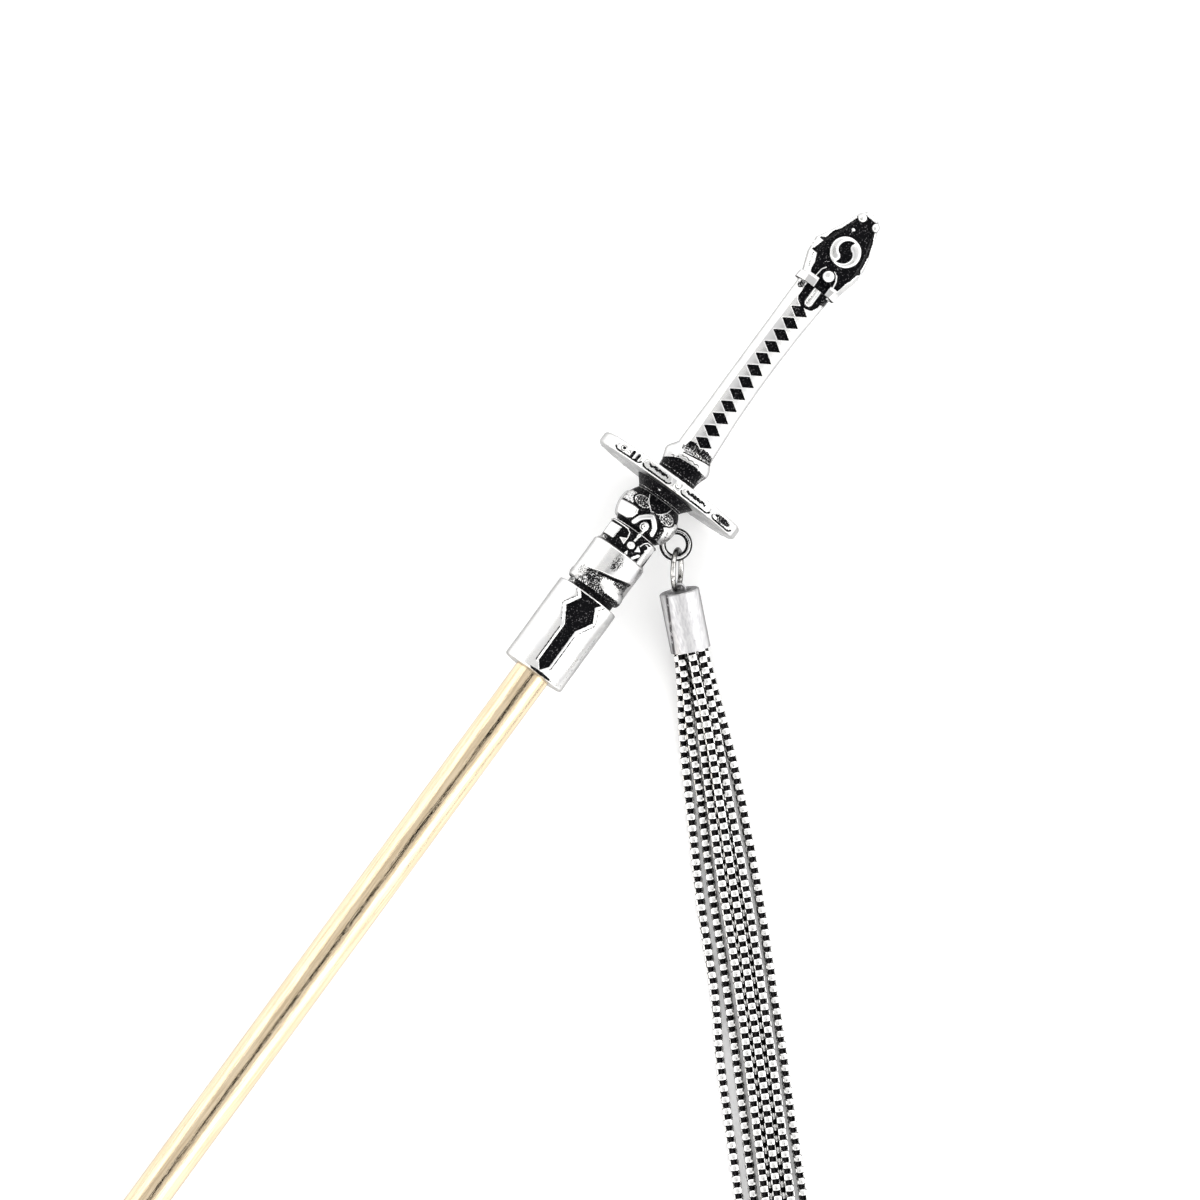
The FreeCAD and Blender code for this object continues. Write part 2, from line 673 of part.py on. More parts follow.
def main():
    pieces = {
        "shaft": laid(make_shaft()),
        "ferrule": laid(make_ferrule()),
        "throat_band": laid(make_throat()),
        "collar": laid(make_collar()),
        "washer": laid(make_washer()),
        "guard": laid(make_guard()),
        "grip_collar": laid(make_grip_collar()),
        "grip": laid(make_grip()),
        "pommel": laid(make_pommel()),
        "jump_ring": make_ring(),
        "end_cap": make_cap(),
    }
    for number, chain in enumerate(CHAINS, 1):
        pieces[f"chain_{number:02d}"] = make_chain(chain)

    # The origin goes under the middle of the whole thing
    whole = Part.makeCompound(list(pieces.values())).optimalBoundingBox()
    middle = Vector((whole.XMin + whole.XMax) / 2, (whole.YMin + whole.YMax) / 2, whole.ZMin)
    print("size", [round(v, 2) for v in (whole.XLength, whole.YLength, whole.ZLength)])
    print("guard's middle", [round(v, 3) for v in Vector(0, 0, HEAD_HEIGHT) - middle],
          "tilt", round(TILT, 3), "cap's dip", round(CAP_DIP, 2))
    os.makedirs("parts", exist_ok=True)
    for name, shape in pieces.items():
        shape.translate(middle * -1)
        solid = shape.Solids[0] if len(shape.Solids) == 1 else None
        if solid is None or not solid.isValid():
            raise ValueError(f"{name} is not one sound solid: {len(shape.Solids)}")
        box = solid.optimalBoundingBox()
        print(f"{name}: volume {solid.Volume:.1f}, lowest {box.ZMin:.3f}")
        solid.exportStep(f"parts/{name}.step")


if __name__ == "__main__":
    main()
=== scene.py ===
from collections import namedtuple
from math import cos, hypot, pi, radians, sin

import bpy
import numpy as np
from mathutils import Matrix, Vector


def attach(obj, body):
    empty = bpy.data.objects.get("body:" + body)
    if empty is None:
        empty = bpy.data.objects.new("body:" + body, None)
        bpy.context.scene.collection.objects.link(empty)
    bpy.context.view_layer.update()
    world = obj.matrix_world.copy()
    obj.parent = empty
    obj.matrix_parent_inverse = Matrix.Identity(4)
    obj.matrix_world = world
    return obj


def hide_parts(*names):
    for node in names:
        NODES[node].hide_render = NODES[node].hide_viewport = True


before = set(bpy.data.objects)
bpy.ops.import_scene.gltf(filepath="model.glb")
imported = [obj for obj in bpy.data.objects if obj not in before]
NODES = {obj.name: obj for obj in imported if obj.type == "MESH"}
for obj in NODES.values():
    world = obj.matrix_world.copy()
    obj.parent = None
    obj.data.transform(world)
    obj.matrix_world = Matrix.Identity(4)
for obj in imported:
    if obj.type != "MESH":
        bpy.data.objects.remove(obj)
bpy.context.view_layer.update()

# A hair stick with a cast silver sword-handle head and a tassel of box chains. The head's
# figures are drawn in millimetres in its own plane: x runs up the stick to the pommel, 0 at
# the guard, and l runs across it to the tassel's side. What is placed is in metres.

MM = 0.001

# How the head lies
GUARD_MIDDLE = Vector((51.44, 25.471, 6.7)) * MM
TILT = radians(2.452)
ROLL = radians(11)
HEAD = (
    Matrix.Translation(GUARD_MIDDLE)
    @ Matrix.Rotation(-TILT, 4, "Y")
    @ Matrix.Rotation(ROLL, 4, "X")
    @ Matrix.Scale(MM, 4)
)

# Grid steps of the cast pieces in mm, on the front and on the back
FINE, COARSE = 0.06, 0.1

# Stations of the head in mm, as in the part
SHAFT_TIP, TAPER_END, FERRULE_BORE_END = -138.7, -104.7, -16.6
FERRULE_LOW, FERRULE_TOP, THROAT_TOP, COLLAR_TOP = -24.23, -14.34, -8.69, -1.72
GUARD_LOW, GUARD_TOP, GRIP_LOW, GRIP_TOP = -0.62, 0.8, 4.4, 25.76
BAND_TOP, POMMEL_TIP = 26.6, 35.7

# Radii in mm. Every casting closes inside the one below it, at the seam radius.
SHAFT_R, TIP_R, SPIGOT_R, SEAM_R = 2.0, 0.8, 1.7, 2.0
FERRULE_R, THROAT_R, NECK_R, SLEEVE_R = 3.55, 3.14, 2.72, 2.78
COLLAR_R, COLLAR_END_R, WAIST_R, WASHER_R = 3.25, 2.48, 2.3, 3.0
GUARD_HALF_WIDTH, GUARD_HALF_DEPTH, GUARD_ROUND = 8.74, 6.6, 0.38
LUG_MIDDLE, LUG_R, LUG_WIRE_R = (-4.45, 4.2), 1.4, 0.35
KNOPS, KNOP_X, KNOP_R = (("knop_left", -2.86), ("knop_right", 3.16)), 29.6, 0.42

# The cap in mm: the middle of its mouth, its heading, its slope and its length
CAP_MOUTH = Vector((39.413, 13.856, 2.032))
CAP_HEADING, CAP_DIP = radians(-132.2), radians(17.54)
CAP_LENGTH = 6.35
CAP_OUT = Vector((
    cos(CAP_HEADING) * cos(CAP_DIP),
    sin(CAP_HEADING) * cos(CAP_DIP),
    -sin(CAP_DIP),
))
CAP_SIDE = Vector((-CAP_OUT.y, CAP_OUT.x, 0)).normalized()
CAP_UP = CAP_OUT.cross(CAP_SIDE)
CAP_TOP = CAP_MOUTH - CAP_OUT * CAP_LENGTH

# Photograph: its size in pixels, the guard's middle in it, mm a pixel, and its right and its
# way up along the table
PHOTO, PIXEL, GUARD_PIXEL = 1200, 0.1047, (668.8, 486.5)
PHOTO_RIGHT = Vector((0.589125, -0.808042, 0))
PHOTO_LEVEL = Vector((0.808042, 0.589125, 0))
CAMERA_ELEVATION, CAMERA_DISTANCE, SENSOR = radians(82), 1.5, 36
TABLE_HALF = 3.0

# The light: what the tent's brightness gains towards a side, and the dark gap overhead with
# the cosines of its fading edge and of its core
LEAN = (0.05, -0.14, 0.0)
GAP = Vector((0.03, -0.17, 1.0)).normalized()
GAP_EDGE, GAP_CORE = cos(radians(10.5)), cos(radians(7))


# Node graphs. Each helper adds its node to the tree of the socket or node that it is given.

def new_material(name):
    material = bpy.data.materials.new(name)
    material.use_nodes = True
    return material, material.node_tree.nodes["Principled BSDF"]


def feed(socket, value):
    """Gives a socket another node's output, or a value."""
    if isinstance(value, bpy.types.NodeSocket):
        socket.id_data.links.new(value, socket)
    else:
        socket.default_value = value


def add(where, kind, inputs=None, **settings):
    """Adds a shader node. Its inputs are values or other nodes' outputs."""
    node = where.id_data.nodes.new("ShaderNode" + kind)
    for key, value in settings.items():
        setattr(node, key, value)
    for key, value in (inputs or {}).items():
        feed(node.inputs[key], value)
    return node


def join(shader, **values):
    """Feeds a shader's sockets, named with underscores for spaces."""
    for key, value in values.items():
        feed(shader.inputs[key.replace("_", " ")], value)


def calculate(operation, first, second):
    return add(first, "Math", {0: first, 1: second}, operation=operation).outputs[0]


def plus(first, second):
    return calculate("ADD", first, second)


def times(first, second):
    return calculate("MULTIPLY", first, second)


def dot(place, direction):
    node = add(place, "VectorMath", {0: place, 1: direction}, operation="DOT_PRODUCT")
    return node.outputs["Value"]


def object_place(shader):
    return add(shader, "TexCoord").outputs["Object"]


def noise(place, scale, detail=3.0, roughness=0.55):
    inputs = {"Vector": place, "Scale": scale, "Detail": detail, "Roughness": roughness}
    return add(place, "TexNoise", inputs).outputs["Fac"]


def ramp(value, low, high, out_low=0.0, out_high=1.0):
    """A smooth step from out_low at low to out_high at high."""
    names = ("Value", "From Min", "From Max", "To Min", "To Max")
    inputs = dict(zip(names, (value, low, high, out_low, out_high)))
    return add(value, "MapRange", inputs, interpolation_type="SMOOTHSTEP").outputs["Result"]


def blend_colours(factor, first, second):
    node = add(factor, "Mix", {"Factor": factor}, data_type="RGBA")
    for socket, value in ((node.inputs[6], first), (node.inputs[7], second)):
        feed(socket, (*value, 1) if isinstance(value, tuple) else value)
    return node.outputs[2]


def streaked(shader, scale, turn, detail, roughness):
    """Noise in object coordinates that are turned about z, then scaled by axis."""
    place = object_place(shader)
    for inputs in ({"Rotation": (0, 0, turn)}, {"Scale": scale}):
        place = add(place, "Mapping", {"Vector": place, **inputs}, vector_type="POINT").outputs[0]
    return noise(place, 1.0, detail, roughness)


def bump(height, distance, strength=1.0):
    inputs = {"Height": height, "Distance": distance, "Strength": strength}
    return add(height, "Bump", inputs).outputs["Normal"]


def painted_edge_shade(shader, colour, low=0.46, high=0.86, share=0.28):
    """A metal's colour, darker towards its silhouette by painted shade, a painted reflection of the
    dark room that it mirrors there.
    """
    edge = add(shader, "LayerWeight", {"Blend": 0.5}).outputs["Facing"]
    inputs = {0: colour, "Scale": ramp(edge, low, high, 1.0, share)}
    return add(shader, "VectorMath", inputs, operation="SCALE").outputs["Vector"]


def tarnish_and_shade_black(grain, amount, low, high):
    """How black the mesh's tarnish and painted shade make a place. Grain breaks its edge into pits
    and specks.
    """
    tarnish_and_shade = add(grain, "Attribute", attribute_name="tarnish_and_shade").outputs["Fac"]
    speckle = times(calculate("SUBTRACT", grain, 0.5), amount)
    return ramp(plus(tarnish_and_shade, speckle), low, high)


# Materials

def cast_silver():
    """Polished casting with blackened recesses, whose soot has paler flecks."""
    material, shader = new_material("cast silver")
    place = object_place(shader)
    grain, wide = noise(place, 6800, 3.0, 0.6), noise(place, 700, 2.0)
    fine, flecks = noise(place, 14000, 2.0), noise(place, 5600, 1.0)
    black = tarnish_and_shade_black(grain, 1.3, 0.44, 0.58)
    silver = blend_colours(ramp(wide, 0.35, 0.7), (0.9, 0.895, 0.885), (0.78, 0.778, 0.785))
    black_fill = blend_colours(ramp(flecks, 0.59, 0.76), (0.002, 0.002, 0.003), (0.15, 0.145, 0.15))
    pits = times(black, ramp(grain, 0.3, 0.7))
    join(
        shader,
        Base_Color=blend_colours(black, painted_edge_shade(shader, silver), black_fill),
        Metallic=ramp(black, 0, 1, 1.0, 0.3),
        Specular_IOR_Level=ramp(black, 0, 1, 0.5, 0.07),
        Roughness=plus(ramp(wide, 0.3, 0.7, 0.23, 0.34), times(black, 0.2)),
        Normal=bump(plus(times(fine, 0.12), pits), 0.00005),
    )
    return material


def polished(shader, streaks, colour, edge_shade, smooth, rough):
    """Bare metal whose streaks shine more or less."""
    colour = painted_edge_shade(shader, colour, *edge_shade)
    join(shader, Base_Color=colour, Roughness=ramp(streaks, 0.3, 0.7, smooth, rough), Metallic=1.0)


def stick_gold():
    """Pale champagne gold, polished along its length, so reflections break into short dashes."""
    material, shader = new_material("champagne gold")
    streaks = streaked(shader, (90, 3600, 3600), 0, 5.0, 0.65)
    ripples = streaked(shader, (700, 1500, 1500), 0, 3.0, 0.55)
    gold = blend_colours(ramp(streaks, 0.35, 0.65), (0.93, 0.765, 0.545), (0.76, 0.6, 0.4))
    polished(shader, streaks, gold, (0.55, 0.92, 0.45), 0.05, 0.12)
    join(shader, Normal=bump(plus(streaks, ripples), 0.00006, 0.42))
    return material


def satin_silver():
    """The cap: drawn tube with fine streaks along it and a few scuffs. A painted dark reflection,
    broken into dashes, slants down its left side as a line."""
    material, shader = new_material("satin silver")
    streaks = streaked(shader, (300, 4200, 4200), -CAP_HEADING, 3.0, 0.55)
    scuffs = streaked(shader, (1500, 3400, 3400), -CAP_HEADING, 3.0, 0.7)
    # Painted reflection: a dark line, broken into dashes by the scuff noise, stands in for the dark
    # gap the cap would mirror
    across = CAP_SIDE + CAP_OUT * 0.066
    middle = (CAP_TOP.dot(across) - 1.42) * MM
    aside = calculate("SUBTRACT", dot(object_place(shader), across), middle)
    close = ramp(calculate("ABSOLUTE", aside, 0.0), 0.00006, 0.0002, 1.0, 0.0)
    line = times(close, ramp(scuffs, 0.34, 0.46))
    scuffs_and_painted_reflection = calculate("MAXIMUM", ramp(scuffs, 0.66, 0.74), line)
    satin = blend_colours(ramp(streaks, 0.3, 0.7), (0.7, 0.695, 0.7), (0.53, 0.525, 0.54))
    polished(shader, streaks, satin, (), 0.38, 0.5)
    colour = blend_colours(scuffs_and_painted_reflection, painted_edge_shade(shader, satin), (0.1, 0.095, 0.1))
    join(shader, Base_Color=colour, Normal=bump(streaks, 0.00002, 0.6))
    return material


def ring_silver():
    """Drawn wire with dull streaks."""
    material, shader = new_material("ring silver")
    streaks = streaked(shader, (1500, 1500, 3500), 0, 4.0, 0.6)
    wire = blend_colours(ramp(streaks, 0.42, 0.66), (0.8, 0.79, 0.77), (0.07, 0.065, 0.06))
    polished(shader, streaks, wire, (0.16, 0.46, 0.05), 0.16, 0.34)
    join(shader, Normal=bump(streaks, 0.00003, 0.7))
    return material


def chain_silver():
    """Plated links: bright outer faces, with painted shade, near black, on their inner faces and
    ends.
    """
    material, shader = new_material("chain silver")
    grain = noise(object_place(shader), 4200)
    dark = tarnish_and_shade_black(grain, 0.9, 0.4, 0.72)
    # The plating's colour, with painted shade towards the silhouette
    plating_with_edge_shade = painted_edge_shade(shader, (0.97, 0.965, 0.955))
    join(
        shader,
        Base_Color=blend_colours(dark, plating_with_edge_shade, (0.012, 0.011, 0.012)),
        Roughness=ramp(grain, 0.3, 0.7, 0.16, 0.3),
        Metallic=ramp(dark, 0, 1, 1.0, 0.4),
        Specular_IOR_Level=ramp(dark, 0, 1, 0.5, 0.15),
        Normal=bump(grain, 0.00002, 0.6),
    )
    return material


def floor_white():
    """A white table with a faint paper grain. It is milky and lit a little from below, which
    fills the shadows."""
    material, shader = new_material("studio table")
    grain = noise(object_place(shader), 180, 4.0)
    join(
        shader,
        Base_Color=blend_colours(grain, (0.93, 0.93, 0.93), (0.955, 0.955, 0.955)),
        Normal=bump(grain, 0.00002, 0.2),
        Roughness=0.9,
        Specular_IOR_Level=0.1,
        Emission_Color=(1, 1, 1, 1),
        Emission_Strength=0.14,
    )
    return material


# Pieces and grids

def linked(name, data):
    holder = bpy.data.objects.new(name, data)
    bpy.context.scene.collection.objects.link(holder)
    return holder


def make_piece(name, places, faces, material, node, tarnish_and_shade=None, sharp=None):
    """A mesh piece that stands for a node. Places are in metres, a row for each vertex."""
    mesh = bpy.data.meshes.new(name)
    mesh.from_pydata(places.tolist(), [], faces if isinstance(faces, list) else faces.tolist())
    mesh.materials.append(material)
    if tarnish_and_shade is not None:
        attribute = mesh.attributes.new("tarnish_and_shade", "FLOAT", "POINT")
        attribute.data.foreach_set("value", np.ascontiguousarray(tarnish_and_shade, dtype=np.float32))
    mesh.update()
    mesh.shade_smooth()
    if sharp:
        mesh.set_sharp_from_angle(angle=radians(sharp))
    piece = linked(name, mesh)
    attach(piece, "root")
    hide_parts(node)
    return piece


def grid_faces(rows, columns, first=0):
    """Quads of a grid whose columns close into a ring."""
    low = first + np.arange(rows - 1)[:, None] * columns
    here, there = np.arange(columns)[None, :], np.roll(np.arange(columns), -1)[None, :]
    high = low + columns
    return np.stack([low + here, low + there, high + there, high + here], -1).reshape(-1, 4)


def grid(x, l, z):
    """Places in the head's millimetres. The three are spread out to one grid."""
    return np.stack(np.broadcast_arrays(x, -l, z), -1)


def on_head(places):
    """Head millimetres to metres where the head lies."""
    matrix = np.array(HEAD)
    return places.reshape(-1, 3) @ matrix[:3, :3].T + matrix[:3, 3]


def circle(count):
    return np.linspace(0, 2 * pi, count, endpoint=False)


def columns_of(rows):
    """Each column of a table, upright for a grid."""
    return (np.array(column)[:, None] for column in zip(*rows))


def divided(corners, step):
    """A line through corners, divided evenly between each two."""
    corners = np.array(corners, float)
    parts = [corners[:1]]
    for a, b in zip(corners, corners[1:]):
        count = max(1, round(float(np.linalg.norm(b - a)) / step))
        parts.append(a + (b - a) * (np.arange(1, count + 1) / count)[:, None])
    return np.concatenate(parts)


def turns(radius):
    """Angles round the stick, 0 at the front, close on the front and wider on the back."""
    quarter, half_round = pi / 2, pi * radius
    front = np.linspace(-quarter, quarter, round(half_round / FINE), endpoint=False)
    back = np.linspace(quarter, 3 * quarter, round(half_round / COARSE), endpoint=False)
    return np.concatenate([front, back])


def spun(profile, angles):
    """A grid of places from (x, r) rows turned round the stick."""
    x, r = profile[:, 0][:, None], profile[:, 1][:, None]
    return grid(x, r * np.sin(angles), r * np.cos(angles))


def ease(value, low, high):
    """0 below low, 1 above high, smooth between."""
    t = np.clip((value - low) / (high - low), 0, 1)
    return t * t * (3 - 2 * t)


def near(distance, full, gone):
    """1 within the full distance of a line, 0 beyond the other."""
    return 1 - ease(np.abs(distance), full, gone)


def outward(places):
    """Unit normals of a grid of places that closes along its columns."""
    across = np.roll(places, -1, 1) - np.roll(places, 1, 1)
    along = np.gradient(places, axis=0)
    normals = np.cross(across, along)
    return normals / np.maximum(np.linalg.norm(normals, axis=-1, keepdims=True), 1e-12)


# Figures: distances in the head's plane, below 0 inside

def to_disc(x, l, middle, radius):
    return np.hypot(x - middle[0], l - middle[1]) - radius


def to_oval(x, l, middle, half, turn=0.0):
    """Half is half its length and half its width. Turn runs from x towards l, in degrees."""
    c, s = cos(radians(turn)), sin(radians(turn))
    across, up = x - middle[0], l - middle[1]
    along, aside = across * c + up * s, up * c - across * s
    return (np.hypot(along / half[0], aside / half[1]) - 1) * min(half)


def to_path(x, l, corners):
    """Distance to a broken line."""
    nearest = np.full(np.shape(x), 1e9)
    for (ax, al), (bx, bl) in zip(corners, corners[1:]):
        run = (bx - ax) ** 2 + (bl - al) ** 2
        t = np.clip(((x - ax) * (bx - ax) + (l - al) * (bl - al)) / run, 0, 1)
        nearest = np.minimum(nearest, np.hypot(x - ax - t * (bx - ax), l - al - t * (bl - al)))
    return nearest


def to_outline(x, l, corners):
    """Distance to a closed outline, below 0 inside."""
    inside = np.zeros(np.shape(x), bool)
    ring = corners + corners[:1]
    for (ax, al), (bx, bl) in zip(ring, ring[1:]):
        if ax == bx:
            continue
        crosses = (ax > x) != (bx > x)
        inside ^= crosses & (l < (bl - al) * (x - ax) / (bx - ax) + al)
    return np.where(inside, -1, 1) * to_path(x, l, ring)


def to_arc(x, l, middle, radius, start, end):
    """Distance to an arc's line. Angles run from x towards l, in degrees."""
    steps = np.radians(np.linspace(start, end, max(3, round(abs(end - start) / 12))))
    corners = [(middle[0] + radius * cos(a), middle[1] + radius * sin(a)) for a in steps]
    return to_path(x, l, corners)


def to_comma(x, l, middle, outer, head, start, sweep):
    """A comma of the swirl: a round head at the start angle, and a tail that thins to a point
    along the outer circle."""
    angle = np.degrees(np.arctan2(l - middle[1], x - middle[0]))
    share = ((angle - start) % 360) / sweep
    thick = head * np.clip(1 - share, 0, 1) ** 0.75
    radius = np.hypot(x - middle[0], l - middle[1])
    tail = np.where(share <= 1, np.abs(radius - outer + thick) - thick, 1.0)
    a, reach = radians(start), outer - head
    place = (middle[0] + reach * cos(a), middle[1] + reach * sin(a))
    return np.minimum(tail, to_disc(x, l, place, head))


class Relief:
    """Height and tarnish over the points of a surface. Figures are laid on one after another.
    Tarnish is 0 for bright metal and 1 for black, with pits and specks between. An edge is
    how wide a figure fades. Spots are stained ovals, and smears stained lines. Ribs and plates
    are raised lines and outlines, and threads are thin lines."""

    def __init__(self, x, l, tarnish_and_shade=0.0):
        self.x, self.l = x, l
        self.height = np.zeros(np.shape(x))
        self.tarnish_and_shade = np.full(np.shape(x), tarnish_and_shade)

    def lay(self, inside, height, tarnish_and_shade):
        self.height += (height - self.height) * inside
        self.tarnish_and_shade += (tarnish_and_shade - self.tarnish_and_shade) * inside

    def raised(self, distance, height, tarnish_and_shade=0.0, edge=0.07):
        """A figure with a soft shoulder."""
        self.lay(ease(-distance, -edge / 2, edge), height, tarnish_and_shade)

    def sunk(self, distance, depth, tarnish_and_shade=1.0, edge=0.05):
        self.lay(ease(-distance, -edge / 2, edge / 2), -depth, tarnish_and_shade)

    def stained(self, distance, tarnish_and_shade, edge=0.2):
        self.tarnish_and_shade += (tarnish_and_shade - self.tarnish_and_shade) * ease(-distance, -edge, edge)

    def line(self, distance, width, height=-0.04, tarnish_and_shade=1.0):
        """A thin line, a groove unless the height says otherwise."""
        self.lay(1 - ease(distance, width / 2 - 0.03, width / 2 + 0.04), height, tarnish_and_shade)

    def spots(self, *rows):
        for middle, half, tarnish_and_shade, edge, *turn in rows:
            self.stained(to_oval(self.x, self.l, middle, half, *turn), tarnish_and_shade, edge)

    def smears(self, *rows):
        for corners, half, tarnish_and_shade, edge in rows:
            self.stained(to_path(self.x, self.l, corners) - half, tarnish_and_shade, edge)

    def ribs(self, *rows):
        for corners, half, height, tarnish_and_shade, edge in rows:
            self.raised(to_path(self.x, self.l, corners) - half, height, tarnish_and_shade, edge)

    def plates(self, *rows):
        for corners, height, tarnish_and_shade, edge in rows:
            self.raised(to_outline(self.x, self.l, corners), height, tarnish_and_shade, edge)

    def threads(self, *rows):
        for corners, width, height, tarnish_and_shade in rows:
            self.line(to_path(self.x, self.l, corners), width, height, tarnish_and_shade)

    def bead(self, middle, radius, moat, depth, rim, rise, tarnish_and_shade=0.0):
        """A round bead in a black moat that is so wide and deep. Gives the distance to it."""
        distance = to_disc(self.x, self.l, middle, radius)
        if moat:
            self.sunk(distance - moat, depth, 1.0, 0.04)
        dome = np.sqrt(np.clip(-distance, 0, radius) / radius)
        self.lay(ease(-distance, -0.02, 0.02), rim + rise * dome, tarnish_and_shade)
        return distance


def plane_of(places):
    """x and l of every place as its own side shows them, and how much it faces that side."""
    x, y, z = places[..., 0], places[..., 1], places[..., 2]
    return x, np.where(z >= 0, -y, y), np.abs(z)


def skin_piece(name, node, places, height, tarnish_and_shade, material):
    """A cast piece: a grid of places, raised along its normals."""
    skin = on_head(places + outward(places) * height[..., None])
    return make_piece(name, skin, grid_faces(*height.shape), material, node, tarnish_and_shade.ravel())


def cast(node, places, relief, material, side_tarnish=0.0, side=0.35):
    """A cast piece whose relief fades where the surface turns to the side."""
    x, l, z = plane_of(places)
    art = relief(x, l)
    facing = ease(z, 0.05, side)
    tarnish_and_shade = side_tarnish + (art.tarnish_and_shade - side_tarnish) * facing
    return skin_piece(node + "_skin", node, places, art.height * facing, tarnish_and_shade, material)


# Stick

def make_shaft(material):
    bend = np.radians(np.linspace(0, 85, 7))
    tip = [(SHAFT_TIP + TIP_R * (1 - cos(a)), TIP_R * sin(a)) for a in bend]
    runs = divided([tip[-1], (TAPER_END, SHAFT_R), (FERRULE_LOW, SHAFT_R)], 1.5)
    spigot = [(FERRULE_LOW, SPIGOT_R), (FERRULE_BORE_END, SPIGOT_R)]
    profile = np.concatenate([tip[:-1], runs, spigot])
    profile[0, 1] = 0.01
    places = on_head(spun(profile, circle(96)))
    faces = grid_faces(len(profile), 96)
    return make_piece("stick", places, faces, material, "shaft", sharp=40)


# Ferrule

def ferrule_relief(x, l):
    art = Relief(x, l)
    figure = [(-0.12, 1.44), (-0.72, 0.92), (-2.2, 1.76), (-4.0, 0.68), (-8.6, 0.68), (-9.42, 0.0)]
    right = [(FERRULE_TOP + down, half) for down, half in figure]
    outline = right + [(a, -b) for a, b in reversed(right[:-1])]
    distance = to_outline(x, l, outline)
    # A thin groove runs beside the figure, with a bright lip between the two
    art.raised(distance - 0.2, 0.04, 0.0)
    along_bar = ease(FERRULE_TOP - 4.2 - x, 0, 0.4) * ease(x - FERRULE_LOW - 0.9, 0, 0.3)
    art.lay(near(distance - 0.27, 0.03, 0.09) * along_bar, -0.03, np.where(l < 0, 0.95, 0.8))
    shoulder = ease(x - FERRULE_TOP + 4.2, 0, 0.4)
    art.lay(near(distance - 0.36, 0.03, 0.1) * shoulder, -0.03, 0.58)
    art.sunk(distance, 0.17)
    # The sleeve's bright rim closes the figure's top
    art.lay(ease(x - FERRULE_TOP + 0.15, 0, 0.06), 0.0, 0.0)
    # Shallow knocks by the edges
    art.spots(((-24.0, 0.3), (0.2, 1.5), 0.85, 0.1))
    art.smears(
        ([(-23.8, 2.95), (-20.0, 3.02), (-16.0, 3.05)], 0.06, 0.56, 0.12),
        ([(-22.5, -1.2), (-17.0, -1.42)], 0.05, 0.43, 0.1),
        ([(-18.0, -3.3), (-20.5, -3.34)], 0.03, 0.42, 0.12),
    )
    art.spots(((-16.0, -3.15), (0.5, 0.1), 0.42, 0.12))
    art.height += 0.015 * np.sin(x * 1.7 + l * 2.1) * np.sin(l * 1.3 - x * 0.8)
    return art


def make_ferrule(material):
    r, rounding = FERRULE_R, 0.3
    edge = np.radians(np.linspace(0, 90, 7))[::-1]
    profile = [(FERRULE_LOW, SPIGOT_R)]
    for a in edge:
        profile.append((FERRULE_LOW + rounding * (1 - sin(a)), r - rounding * (1 - cos(a))))
    profile += [
        (FERRULE_TOP - 0.15, r), (FERRULE_TOP - 0.04, r - 0.05),
        (FERRULE_TOP, r - 0.15), (FERRULE_TOP, SEAM_R),
    ]
    return cast("ferrule", spun(divided(profile, FINE), turns(r)), ferrule_relief, material)


# Throat

def throat_relief(x, l):
    art = Relief(x, l, 0.5)
    # The lower wrap: a swelling on the tassel's side, bright on its crown and pitted beside it
    art.raised(to_oval(x, l, (-12.95, 1.6), (0.95, 3.8)), 0.5, 0.6, 0.7)
    art.spots(
        ((-12.6, 1.15), (0.62, 1.35), 0.08, 0.22, 12),
        ((-12.75, 2.75), (0.42, 0.45), 0.14, 0.15),
        ((-13.35, 1.6), (0.26, 1.3), 0.7, 0.14),
        ((-13.45, 3.0), (0.3, 0.5), 0.74, 0.14),
        ((-11.45, 2.2), (0.38, 1.1), 0.62, 0.14, -14),
        ((-12.7, -0.85), (0.85, 0.75), 0.6, 0.18),
    )
    # The band, whose lower edge slants down from the tassel's side
    band = [(-8.5, -4), (-8.5, 4), (-10.45, 4), (-10.65, 3.0), (-11.3, 0.9), (-11.75, -0.85),
            (-12.1, -1.75), (-13.1, -2.1), (-13.55, -2.4), (-13.55, -4)]
    distance = to_outline(x, l, band)
    under = to_path(x, l, [(-10.6, 3.3), (-10.75, 2.7), (-11.3, 0.9), (-11.7, -0.85)])
    art.stained(under - 0.26, 1.0, 0.08)
    art.raised(distance, THROAT_R - NECK_R, 0.0, 0.12)
    art.spots(
        ((-10.0, 0.05), (1.0, 0.7), 0.4, 0.22),
        ((-10.1, 0.05), (0.8, 0.4), 0.57, 0.18),
        ((-12.35, -1.55), (0.85, 0.45), 0.62, 0.16, 60),
        ((-12.5, -2.1), (0.6, 0.35), 0.46, 0.14),
    )
    art.smears(([(-12.9, -2.6), (-13.4, -2.9)], 0.12, 0.48, 0.12))
    # The band's end curls over at the tassel's side
    art.threads(([(-8.75, 2.65), (-9.3, 3.0), (-10.1, 2.95), (-10.6, 2.6)], 0.1, -0.04, 0.9))
    # The groove over the ferrule
    art.sunk(x + 13.66, 0.0, 1.0, 0.08)
    art.spots(((-14.0, -2.95), (0.5, 0.85), 0.52, 0.1))
    return art


